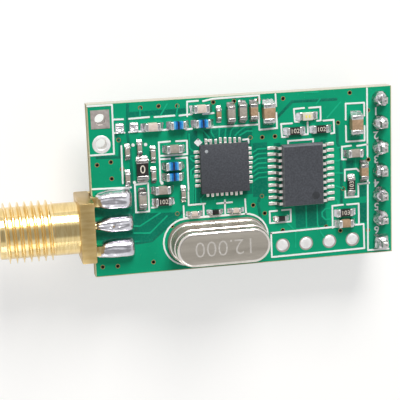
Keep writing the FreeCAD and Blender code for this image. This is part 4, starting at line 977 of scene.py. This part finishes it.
# %% [markdown]
# On the component side the blunt tip of each pin stands out of its own dome of solder. The domes were made by
# hand, so no two are alike. The last one stands on a square pad and is turned with four sides.

# %% Header joints
DOME = ((0.0, -0.005), (0.84, -0.005), (0.85, 0.05), (0.82, 0.22), (0.76, 0.46), (0.67, 0.74), (0.57, 0.96),
        (0.44, 1.10), (0.0, 1.14))


def rumple(bm, above, amount, size, seed):
    """Pushes what lies higher than a distance above the face in and out by a smooth noise."""
    for vert in bm.verts:
        if vert.co.z > FACE + above:
            spot = vert.co / size + Vector((seed * 7.3, seed * 3.1, seed))
            vert.co += vert.normal * noise.noise(spot) * amount


bm = bmesh.new()
for pin, (x, y) in enumerate(flat(HEADER_PADS)):
    dome = bmesh.new()
    square = pin == len(HEADER_PADS) - 1
    lathe(dome, DOME, (0, 0, FACE), steps=4 if square else 28)
    if square:
        bmesh.ops.rotate(dome, cent=(0, 0, 0), matrix=turned(45), verts=dome.verts)
        bmesh.ops.scale(dome, vec=(1.25, 1.25, 1), verts=dome.verts)
        bmesh.ops.subdivide_edges(dome, edges=dome.edges[:], cuts=3, use_grid_fill=True)
    bmesh.ops.translate(dome, vec=(x, y, 0), verts=dome.verts)
    dome.normal_update()
    rumple(dome, 0.1, 0.22, 0.55, 31.0 + pin * 2.3)
    rumple(dome, 0.1, 0.06, 0.2, 11.0 + pin)
    for vert in dome.verts:
        vert.co.x = min(vert.co.x, BOARD_HIGH.x - 0.02)
    pour(bm, dome)
finish_piece(bm, "header_joints_frozen", [SOLDER_HEADER], ["header_joints"], crease=60)

# %% [markdown]
# ## Port row
# Four holes beside the crystal are filled nearly flush with solder. Each stands on a round pad whose rim
# shows as a thin dull ring, and its low dome sits a little off the middle.

# %% Port row
PLUG = ((0.0, UNDERSIDE - 0.02), (0.0, UNDERSIDE - 0.12), (0.5, UNDERSIDE - 0.10), (0.74, UNDERSIDE - 0.04),
        (0.74, UNDERSIDE), (0.46, UNDERSIDE), (0.46, FACE), (0.74, FACE), (0.74, FACE + 0.045),
        (0.66, FACE + 0.05), (0.64, FACE + 0.04), (0.60, FACE + 0.05), (0.0, FACE + 0.05))
LOW_DOME = ((0.0, 0.0), (0.62, 0.0), (0.60, 0.07), (0.45, 0.115), (0.25, 0.12), (0.0, 0.09))
bm = bmesh.new()
for pin, (x, y) in enumerate(flat(PORT_PADS)):
    lathe(bm, PLUG, (x, y, 0), steps=32, material=1)
    dome = bmesh.new()
    lathe(dome, LOW_DOME, (x - 0.03, y + 0.02, FACE), steps=28)
    dome.normal_update()
    rumple(dome, 0.03, 0.05, 0.5, 3.0 + pin * 1.7)
    pour(bm, dome)
finish_piece(bm, "port_joints_filled", [TIN_PALE, TIN_DULL], ["port_joints"], crease=60)

# %% [markdown]
# ## Crystal
# A drawn steel can stands on a base plate with the same rounded outline. A welded collar and a small second
# step show as thin bright lines between darker bands of painted shade, and the can's wall turns into its top
# in a small radius that catches the light. Each body is given as insets and heights and joined from ring to
# ring.

# %% Crystal base and can
BASE_LOW, BASE_HIGH = node_box("crystal_base")
CAN_LOW, CAN_HIGH = node_box("crystal_can")
CRYSTAL_X, CRYSTAL_Y = ((BASE_LOW + BASE_HIGH) / 2).xy


def build_up(bm, rings, materials):
    """Joins closed lines of edges one to the next and closes both ends; one material for each step."""
    for lower, upper, index in zip(rings, rings[1:], materials):
        for face in bmesh.ops.bridge_loops(bm, edges=lower + upper)["faces"]:
            face.material_index = index
    for end, index in ((rings[0], materials[0]), (rings[-1], materials[-1])):
        for face in bmesh.ops.contextual_create(bm, geom=end)["faces"]:
            face.material_index = index


def stadium(bm, low, high, layers, materials, segments=40):
    """A body with half-round ends between two corners, from (inset, height) layers."""
    rings = []
    for inset, height in layers:
        radius = (high.y - low.y) / 2 - inset
        edges = ring(bm, radius, turned(180 / segments), segments)
        made = list({vert for edge in edges for vert in edge.verts})
        for vert in made:
            vert.co.x += math.copysign((high.x - low.x) / 2 - inset - radius, vert.co.x)
        bmesh.ops.translate(bm, vec=(CRYSTAL_X, CRYSTAL_Y, height), verts=made)
        rings.append(edges)
    build_up(bm, rings, materials)


bm = bmesh.new()
# The base plate is painted shade all over, in the darker tone of the can's sides.
stadium(bm, BASE_LOW, BASE_HIGH, (
    (0.06, BASE_LOW.z), (0.0, BASE_LOW.z + 0.06), (0.0, BASE_HIGH.z - 0.12), (0.04, BASE_HIGH.z - 0.04),
    (0.12, BASE_HIGH.z - 0.002)), (0, 0, 0, 0))
finish_piece(bm, "crystal_base_plate", [CAN_SIDE_PAINTED_SHADE], ["crystal_base"])

bm = bmesh.new()
foot = ((0.05, 0.0), (0.0, 0.03), (0.0, 0.10), (0.015, 0.14), (0.04, 0.165), (0.105, 0.20), (0.12, 0.235),
        (0.125, 0.29), (0.125, 0.66), (0.13, 0.76), (0.13, 1.30))
head = ((0.13, 1.10), (0.14, 1.00), (0.16, 0.975), (0.24, 0.935), (0.26, 0.89), (0.26, 0.34), (0.28, 0.22),
        (0.335, 0.12), (0.42, 0.05), (0.50, 0.012), (0.58, 0.004), (0.72, 0.004), (0.80, 0.012))
layers = [(inset, CAN_LOW.z + rise) for inset, rise in foot]
layers += [(inset, CAN_HIGH.z - drop) for inset, drop in head]
# Upright bands (3) get painted shade; sloped steps (0) are the bright drawn nickel; the top is 1.
stadium(bm, CAN_LOW, CAN_HIGH, layers, (3,) * 3 + (0,) * 5 + (3,) * 4 + (0,) * 3 + (3,) + (0,) * 5 + (1, 1))
print("can:", len(layers), "layers")

# %% [markdown]
# The number is pressed in and filled. It stands upside down to the camera, as on the part.

# %% Crystal number
NUMBER_SIZE = 2.35
PRESSED = 0.012
spot = at(CRYSTAL_X + 0.1, CRYSTAL_Y + 0.1, CAN_HIGH.z - PRESSED) @ turned(180)
digits(bm, "12.000", NUMBER_SIZE, spot, PRESSED, 2, -0.03)
finish_piece(bm, "crystal_can_drawn", [CAN_WALL, CAN_TOP, ENGRAVED, CAN_SIDE_PAINTED_SHADE], ["crystal_can"],
             crease=25)

# %% [markdown]
# Two round leads go down through the board. Under it, solder has climbed each of them in a hollow cone.

# %% Crystal leads
LEAD_LOW, LEAD_HIGH = node_box("crystal_leads")
LEAD_RADIUS = 0.21
lead_places = (LEAD_LOW.x + LEAD_RADIUS, LEAD_HIGH.x - LEAD_RADIUS)
bm = bmesh.new()
for x in lead_places:
    lathe(bm, (
        (0.0, LEAD_HIGH.z - 0.01), (LEAD_RADIUS, LEAD_HIGH.z - 0.01), (LEAD_RADIUS, LEAD_LOW.z + 0.05),
        (0.16, LEAD_LOW.z), (0.0, LEAD_LOW.z)), (x, CRYSTAL_Y, 0), steps=20)
finish_piece(bm, "crystal_leads_round", [TIN_BRIGHT], ["crystal_leads"])
low, high = node_box("crystal_joints_back")
bm = bmesh.new()
for x in lead_places:
    lathe(bm, (
        (0.0, high.z), (0.70, high.z), (0.66, high.z - 0.06), (0.42, high.z - 0.22), (0.30, low.z + 0.1),
        (0.26, low.z), (0.0, low.z)), (x, CRYSTAL_Y, 0), steps=24)
finish_piece(bm, "crystal_joints_back_frozen", [SOLDER], ["crystal_joints_back"])

# %% [markdown]
# ## Square chip
# A sawn block of moulding compound lies on 32 flat terminals. A small round mark shows the first terminal.
# Solder has risen at each terminal and stands out beyond the block as a bright toe. One toe is drawn and
# stamped eight times on each side, with a little chance in its length.

# %% Square chip
CHIP_LOW, CHIP_HIGH = node_box("transceiver_body")
CHIP_X, CHIP_Y = ((CHIP_LOW + CHIP_HIGH) / 2).xy
bm = bmesh.new()
block(bm, CHIP_LOW, CHIP_HIGH, 0.04, 2)
disc(bm, 0.17, CHIP_HIGH.z - 0.02, CHIP_HIGH.z + 0.003, CHIP_LOW.x + 0.62, CHIP_HIGH.y - 0.62, 24, material=1)
finish_piece(bm, "transceiver_block", [MOULDING, MOULDING_DIMPLE], ["transceiver_body"])

bm = bmesh.new()
toe = bmesh.new()
block(toe, (2.05, -0.13, FACE), (2.52, 0.13, FACE + 0.19), 0.02, 1)
block(toe, (2.40, -0.15, FACE), (3.02, 0.15, FACE + 0.12), 0.05, 3)
for step in range(8):
    for quarter in range(4):
        spot = at(CHIP_X, CHIP_Y) @ turned(90 * quarter) @ at(0, CHIP_PITCH * (step - 3.5))
        stamp(bm, toe, spot @ Matrix.Diagonal((1 + CHANCE.uniform(-0.02, 0.03), 1, 1, 1)))
toe.free()
block_at(bm, CHIP_X, CHIP_Y, 1.55, 1.55, FACE, FACE + 0.19, 0.02, 1)
finish_piece(bm, "transceiver_terminals_tinned", [TIN_LEAD], ["transceiver_terminals"])

# %% [markdown]
# ## Oblong chip
# Its block was moulded in two halves that slope so that they leave the mould, and they meet in a fine seam at
# the height of the leads. The upper slopes are smoother and painted paler than the top, a painted sheen. A
# round dimple marks one corner. Twenty gull-wing leads come out at the seam and end in flat feet under
# solder. Their bends are painted dark, a painted reflection of dark surroundings on top of plating that is
# duller where bent.

# %% Oblong chip block
low, high = node_box("controller_body")
OBLONG_X, OBLONG_Y = ((low + high) / 2).xy
seam = (low.z + high.z) / 2
half_x, half_y = (high.x - low.x) / 2, (high.y - low.y) / 2
bm = bmesh.new()
layers = ((0.10, low.z), (0.05, low.z + 0.02), (0.0, seam - 0.04), (0.0, seam + 0.04), (0.10, high.z - 0.10),
          (0.17, high.z - 0.02), (0.24, high.z))
rings = [outline(bm, [(OBLONG_X + a * (half_x - inset), OBLONG_Y + b * (half_y - inset), height)
                      for a, b in CORNERS]) for inset, height in layers]
build_up(bm, rings, (0,) * 6)
bm.normal_update()
# Faces of the upper slopes get the painted sheen.
for face in bm.faces:
    if abs(face.normal.z) < 0.9 and face.calc_center_median().z > seam:
        face.material_index = 2
disc(bm, 0.42, high.z - 0.02, high.z + 0.003, high.x - 0.95, low.y + 1.05, 28, material=1)
finish_piece(bm, "controller_block", [MOULDING, MOULDING_SMOOTH, MOULDING_PAINTED_SHEEN],
             ["controller_body"], crease=15)

# %% Gull-wing leads
LEAD_PITCH = 0.65
LEAD_HALF = 0.14
TOE = 3.2
rise = seam - FACE
bent = ((-0.05, rise + 0.075), (0.33, rise + 0.075), (0.42, rise + 0.03), (0.53, 0.20), (0.61, 0.16),
        (TOE - half_x, 0.15), (TOE - half_x, 0.01), (0.53, 0.01), (0.42, 0.07), (0.31, rise - 0.05),
        (0.24, rise - 0.075), (-0.05, rise - 0.075))
lead = bmesh.new()
edges = outline(lead, [(half_x + out, -LEAD_HALF, FACE + height) for out, height in bent])
thicken(lead, bmesh.ops.contextual_create(lead, geom=edges)["faces"], (0, 2 * LEAD_HALF, 0))
lead.normal_update()
# The sloped bend faces get a dark painted reflection.
for face in lead.faces:
    if 0.15 < abs(face.normal.z) < 0.97 and face.calc_center_median().x < half_x + 0.56:
        face.material_index = 1
block(lead, (TOE - 0.32, -0.17, FACE), (TOE + 0.36, 0.17, FACE + 0.13), 0.06, 3)
bm = bmesh.new()
for step in range(10):
    for degrees in (0, 180):
        stamp(bm, lead, at(OBLONG_X, OBLONG_Y) @ turned(degrees) @ at(0, LEAD_PITCH * (step - 4.5)))
lead.free()
finish_piece(bm, "controller_leads_bent", [TIN_LEAD, TIN_BENT_PAINTED_REFLECTION], ["controller_leads"], crease=40)

# %% [markdown]
# ## Chip parts
# Every chip part is a fired ceramic block with a metal end on each side. The ends were dipped, so they wrap
# round the block and stand a little proud, with full corners. Solder has climbed each end in a hollow slope.
# On the small upright parts the solder and the metal ends are painted darker, a painted shade that damps the
# lamp's glint. Each part is drawn lying along X and turned into place.

# %% Chip part shapes
CAP_SHARES = {"resistor": 0.19, "capacitor": 0.24, "inductor": 0.22, "led": 0.24}
SLOPE = ((0.0, 0.78), (0.10, 0.60), (0.20, 0.34), (0.32, 0.17))
SLOPE_REACH = 0.44
SLOPE_CUTS = 4


def chip_mesh(length, width, height, kind):
    """One chip part, centred, standing on the board's face; its metal ends have material 1."""
    drawn = bmesh.new()
    top = FACE + height
    cap = length * CAP_SHARES[kind] / 2
    block_at(drawn, 0, 0, length / 2 - 0.05, width / 2 - 0.03, FACE + 0.02, top - 0.03, 0.04)
    for side in (-1, 1):
        block_at(drawn, side * (length / 2 - cap), 0, cap, width / 2, FACE, top, 0.09, 3, 1)
    if kind == "inductor":
        low = FACE + height * 0.3
        block_at(drawn, 0, 0, 0.32, width / 2 - 0.02, low, top - 0.02, 0.05, 2, 4)
        block_at(drawn, 0, 0, 0.13, width / 2 - 0.01, low, top - 0.01, 0.05, 2, 2)
    return drawn


def slope_mesh(length, width, height, seed):
    """Hollow slopes of solder at both ends of a chip part, centred on it."""
    drawn = bmesh.new()
    start = length / 2 - 0.06
    profile = [(start + out, height * share) for out, share in SLOPE]
    profile = [(start, 0.0)] + profile + [(start + SLOPE_REACH, 0.03), (start + SLOPE_REACH, 0.0)]
    for side in (-1, 1):
        edges = outline(drawn, [(side * x, -width / 2 - 0.03, FACE + z) for x, z in profile])
        face = bmesh.ops.contextual_create(drawn, geom=edges)["faces"]
        for number in range(SLOPE_CUTS):
            grown = thicken(drawn, face, (0, (width + 0.06) / SLOPE_CUTS, 0))
            if number:
                bmesh.ops.delete(drawn, geom=face, context="FACES_ONLY")
            face = sort_out(grown, BMFace)
    for vert in drawn.verts:
        if abs(vert.co.x) > length / 2:
            vert.co.y *= 1 - 0.25 * (abs(vert.co.x) - length / 2) / 0.4
    drawn.normal_update()
    rumple(drawn, 0.02, 0.04, 0.3, seed)
    for vert in drawn.verts:
        vert.co.z = max(vert.co.z, FACE - 0.005)
    return drawn


print("kinds of chip parts:", len(CAP_SHARES))

# %% [markdown]
# Most capacitors are grey and a few are tan or pink, by their recipe. The wider resistors carry plain value
# digits. All slopes of solder go into one mesh, because they became one kind of joint.

# %% Chip parts
KINDS = {"capacitor": GREY_CERAMIC, "resistor": GLAZE, "inductor": BLUE_COAT}
SLOTS = {"capacitor": "grey_ceramic", "resistor": "black_ceramic", "inductor": "blue_ceramic"}
TAN_PARTS = ("capacitor_3", "capacitor_6", "capacitor_7", "capacitor_8", "capacitor_10", "capacitor_11")
PINK_PARTS = ("capacitor_1", "capacitor_2", "capacitor_12", "capacitor_13")
VALUES = {"resistor_1": "0", "resistor_2": "102", "resistor_3": "102", "resistor_4": "102",
          "resistor_5": "103", "resistor_6": "103"}
WIDE_PART = 1.0
solder = bmesh.new()
chip_parts = sorted(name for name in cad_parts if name.rsplit("_", 1)[0] in KINDS)
for number, name in enumerate(chip_parts, start=1):
    kind = name.rsplit("_", 1)[0]
    low, high = node_box(name)
    size = high - low
    upright = size.y > size.x
    length, width, height = max(size.xy), min(size.xy), size.z
    x, y = ((low.x + high.x) / 2, (low.y + high.y) / 2)
    spot = at(x, y) @ turned(90 if upright else 0)
    # Narrow upright parts and upright resistors get painted shade on their solder slopes and metal ends.
    painted_darker = upright and (width < WIDE_PART or kind == "resistor")
    bm = bmesh.new()
    pour(bm, chip_mesh(length, width, height, kind), spot)
    drawn = slope_mesh(length, width, height, 3.1 * number)
    paint(drawn, (), int(painted_darker))
    pour(solder, drawn, spot)
    ceramic, slot = KINDS[kind], SLOTS[kind]
    if name in TAN_PARTS:
        ceramic, slot = TAN_CERAMIC, "tan_ceramic"
    elif name in PINK_PARTS:
        ceramic = PINK_CERAMIC
    text = VALUES.get(name)
    if text:
        heading = 90 if upright and len(text) > 1 else 0
        letter = width * (0.80 if len(text) > 1 else 0.95)
        digits(bm, text, letter, at(x, y, high.z - 0.024) @ turned(heading), 0.012, 3)
    ends = TIN_PAINTED_SHADE if painted_darker else TIN_BRIGHT
    finish_piece(bm, name + "_fired", [ceramic, ends, DARK_PRINT_AND_SLOT_SHADE, DIGIT_INK, BLUE_DEEP], [name])

# %% [markdown]
# ## Light
# A white base with metal ends carries a clear cast block. Two wells in it hold yellow gel, which turns blue
# light white. Two bare pads beside the antenna pads carry flat pools, and they end the mesh of solder.

# %% Light and loose solder
low, high = node_box("led_base")
size = high - low
spot = at((low.x + high.x) / 2, (low.y + high.y) / 2)
bm = bmesh.new()
pour(bm, chip_mesh(*size, "led"), spot)
pour(solder, slope_mesh(size.x, size.y, size.z + 0.1, 77.0), spot)
finish_piece(bm, "led_base_white", [WHITE_PLASTIC, TIN_BRIGHT], ["led_base"])

low, high = node_box("led_lens")
middle = (low + high) / 2
bm = bmesh.new()
block(bm, low, high, 0.06, 3)
for shift in (-0.17, 0.17):
    block_at(bm, middle.x + shift, middle.y, 0.11, 0.17, low.z + 0.05, high.z + 0.004, 0.03, 2, 1)
finish_piece(bm, "led_lens_clear", [CLEAR_RESIN, PHOSPHOR], ["led_lens"])

for x, y in flat(((3.2, 15.2), (4.65, 15.2))):
    near, far = Vector((x - 0.48, y - 0.56, FACE)), Vector((x + 0.48, y + 0.56, FACE + 0.36))
    pool(solder, near, far, x, 1.0, crease=0.16)
finish_piece(solder, "chip_joints_frozen", [SOLDER, SOLDER_PAINTED_SHADE], ["chip_joints"], crease=50)

# %% [markdown]
# ## Studio
# A pale floor lies under the object. The white behind comes from the floor's own colour as the camera sees
# it, and glossy and clear skins see the same white, never from more light.

# %% Floor
FLOOR_SIZE = 3.0
FLOOR_GAP = 0.00002
PAPER_GLOW = 0.55
bm = bmesh.new()
bmesh.ops.create_grid(bm, x_segments=1, y_segments=1, size=FLOOR_SIZE / 2)
mesh = bpy.data.meshes.new("floor")
bm.to_mesh(mesh)
bm.free()
floor = bpy.data.objects.new("floor", mesh)
floor.location = (0, 0, SOLID_BOUNDS[0][2] - FLOOR_GAP)
bpy.context.scene.collection.objects.link(floor)
floor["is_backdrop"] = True

paper = bpy.data.materials.new("paper_white")
mesh.materials.append(paper)
tree = empty_tree(paper)
rays = add(tree, "ShaderNodeLightPath").outputs
place = add(tree, "ShaderNodeTexCoord").outputs["Object"]
fibres = add(tree, "ShaderNodeTexNoise", {"Scale": 900.0, "Detail": 4.0}, {"Vector": place})
bump = add(tree, "ShaderNodeBump", {"Strength": 0.3, "Distance": 0.00005}, {"Height": fibres.outputs[0]})
matt = add(tree, "ShaderNodeBsdfDiffuse", {"Color": linear(0xC4C2BE)}, {"Normal": bump.outputs[0]})
seen = rays["Is Camera Ray"]
for other in ("Is Glossy Ray", "Is Transmission Ray"):
    seen = add(tree, "ShaderNodeMath", links={0: seen, 1: rays[other]}, operation="MAXIMUM").outputs[0]
strength = add(tree, "ShaderNodeMath", {1: PAPER_GLOW}, {0: seen}, operation="MULTIPLY")
glow = add(tree, "ShaderNodeEmission", {"Color": linear(0xFFFFFF)}, {"Strength": strength.outputs[0]})
both = add(tree, "ShaderNodeAddShader", links={0: matt.outputs[0], 1: glow.outputs[0]})
add(tree, "ShaderNodeOutputMaterial", links={"Surface": both.outputs[0]})
print("floor", FLOOR_SIZE, "m wide")

# %% [markdown]
# A large soft lamp stands beyond the board's upper edge, as the shadows in the photograph fall towards the
# lower edge. A weak lamp fills from the other side. Metal mirrors a bright tent with a darker round opening
# overhead, which is where the satin greys of the can and the solder come from.

# %% Lamps and surroundings
OPENING_MIDDLE = (0.05, 0.03, 1.0)
OPENING_INNER = 19
OPENING_OUTER = 33
OPENING_LEVEL = 0.42
TENT_LEVEL = 0.95


def lamp(name, place, size, power):
    """A square soft white lamp that faces the object."""
    data = bpy.data.lights.new(name, "AREA")
    data.energy = power
    data.size = size
    made = bpy.data.objects.new(name, data)
    made.location = place
    made.rotation_euler = (-Vector(place)).to_track_quat("-Z", "Y").to_euler()
    bpy.context.scene.collection.objects.link(made)


lamp("key", (0.06, 0.345, 0.255), 0.20, 1.80)
lamp("fill", (-0.10, -0.34, 0.20), 0.20, 0.25)
world = bpy.data.worlds.new("studio")
bpy.context.scene.world = world
sky = empty_tree(world)
direction = add(sky, "ShaderNodeTexCoord").outputs["Generated"]
height = add(sky, "ShaderNodeSeparateXYZ", links={0: direction})
levels = {"From Min": -0.1, "From Max": 1.0, "To Min": 0.50, "To Max": 0.24}
room = add(sky, "ShaderNodeMapRange", levels, {"Value": height.outputs["Z"]})
aim = add(sky, "ShaderNodeVectorMath", {1: OPENING_MIDDLE}, {0: direction}, operation="DOT_PRODUCT")
outer, inner = math.cos(math.radians(OPENING_OUTER)), math.cos(math.radians(OPENING_INNER))
levels = {"From Min": outer, "From Max": inner, "To Min": TENT_LEVEL, "To Max": OPENING_LEVEL}
tent = add(sky, "ShaderNodeMapRange", levels, {"Value": aim.outputs["Value"]},
           interpolation_type="SMOOTHSTEP")
glossy = add(sky, "ShaderNodeLightPath").outputs["Is Glossy Ray"]
level = add(sky, "ShaderNodeMix", links={0: glossy, 2: room.outputs[0], 3: tent.outputs[0]},
            data_type="FLOAT")
background = add(sky, "ShaderNodeBackground", {"Color": linear(0xF6F8FA)}, {"Strength": level.outputs[0]})
add(sky, "ShaderNodeOutputWorld", links={"Surface": background.outputs[0]})
print("two lamps and a tent, opening", OPENING_INNER, "to", OPENING_OUTER, "degrees wide")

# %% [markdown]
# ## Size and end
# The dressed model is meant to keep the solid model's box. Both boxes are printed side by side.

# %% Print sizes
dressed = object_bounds()
sizes = {"solid": [list(map(float, corner)) for corner in SOLID_BOUNDS],
         "dressed": [list(map(float, corner)) for corner in dressed]}
for word, corners in sizes.items():
    print(word, [[round(value / MM, 3) for value in corner] for corner in corners])
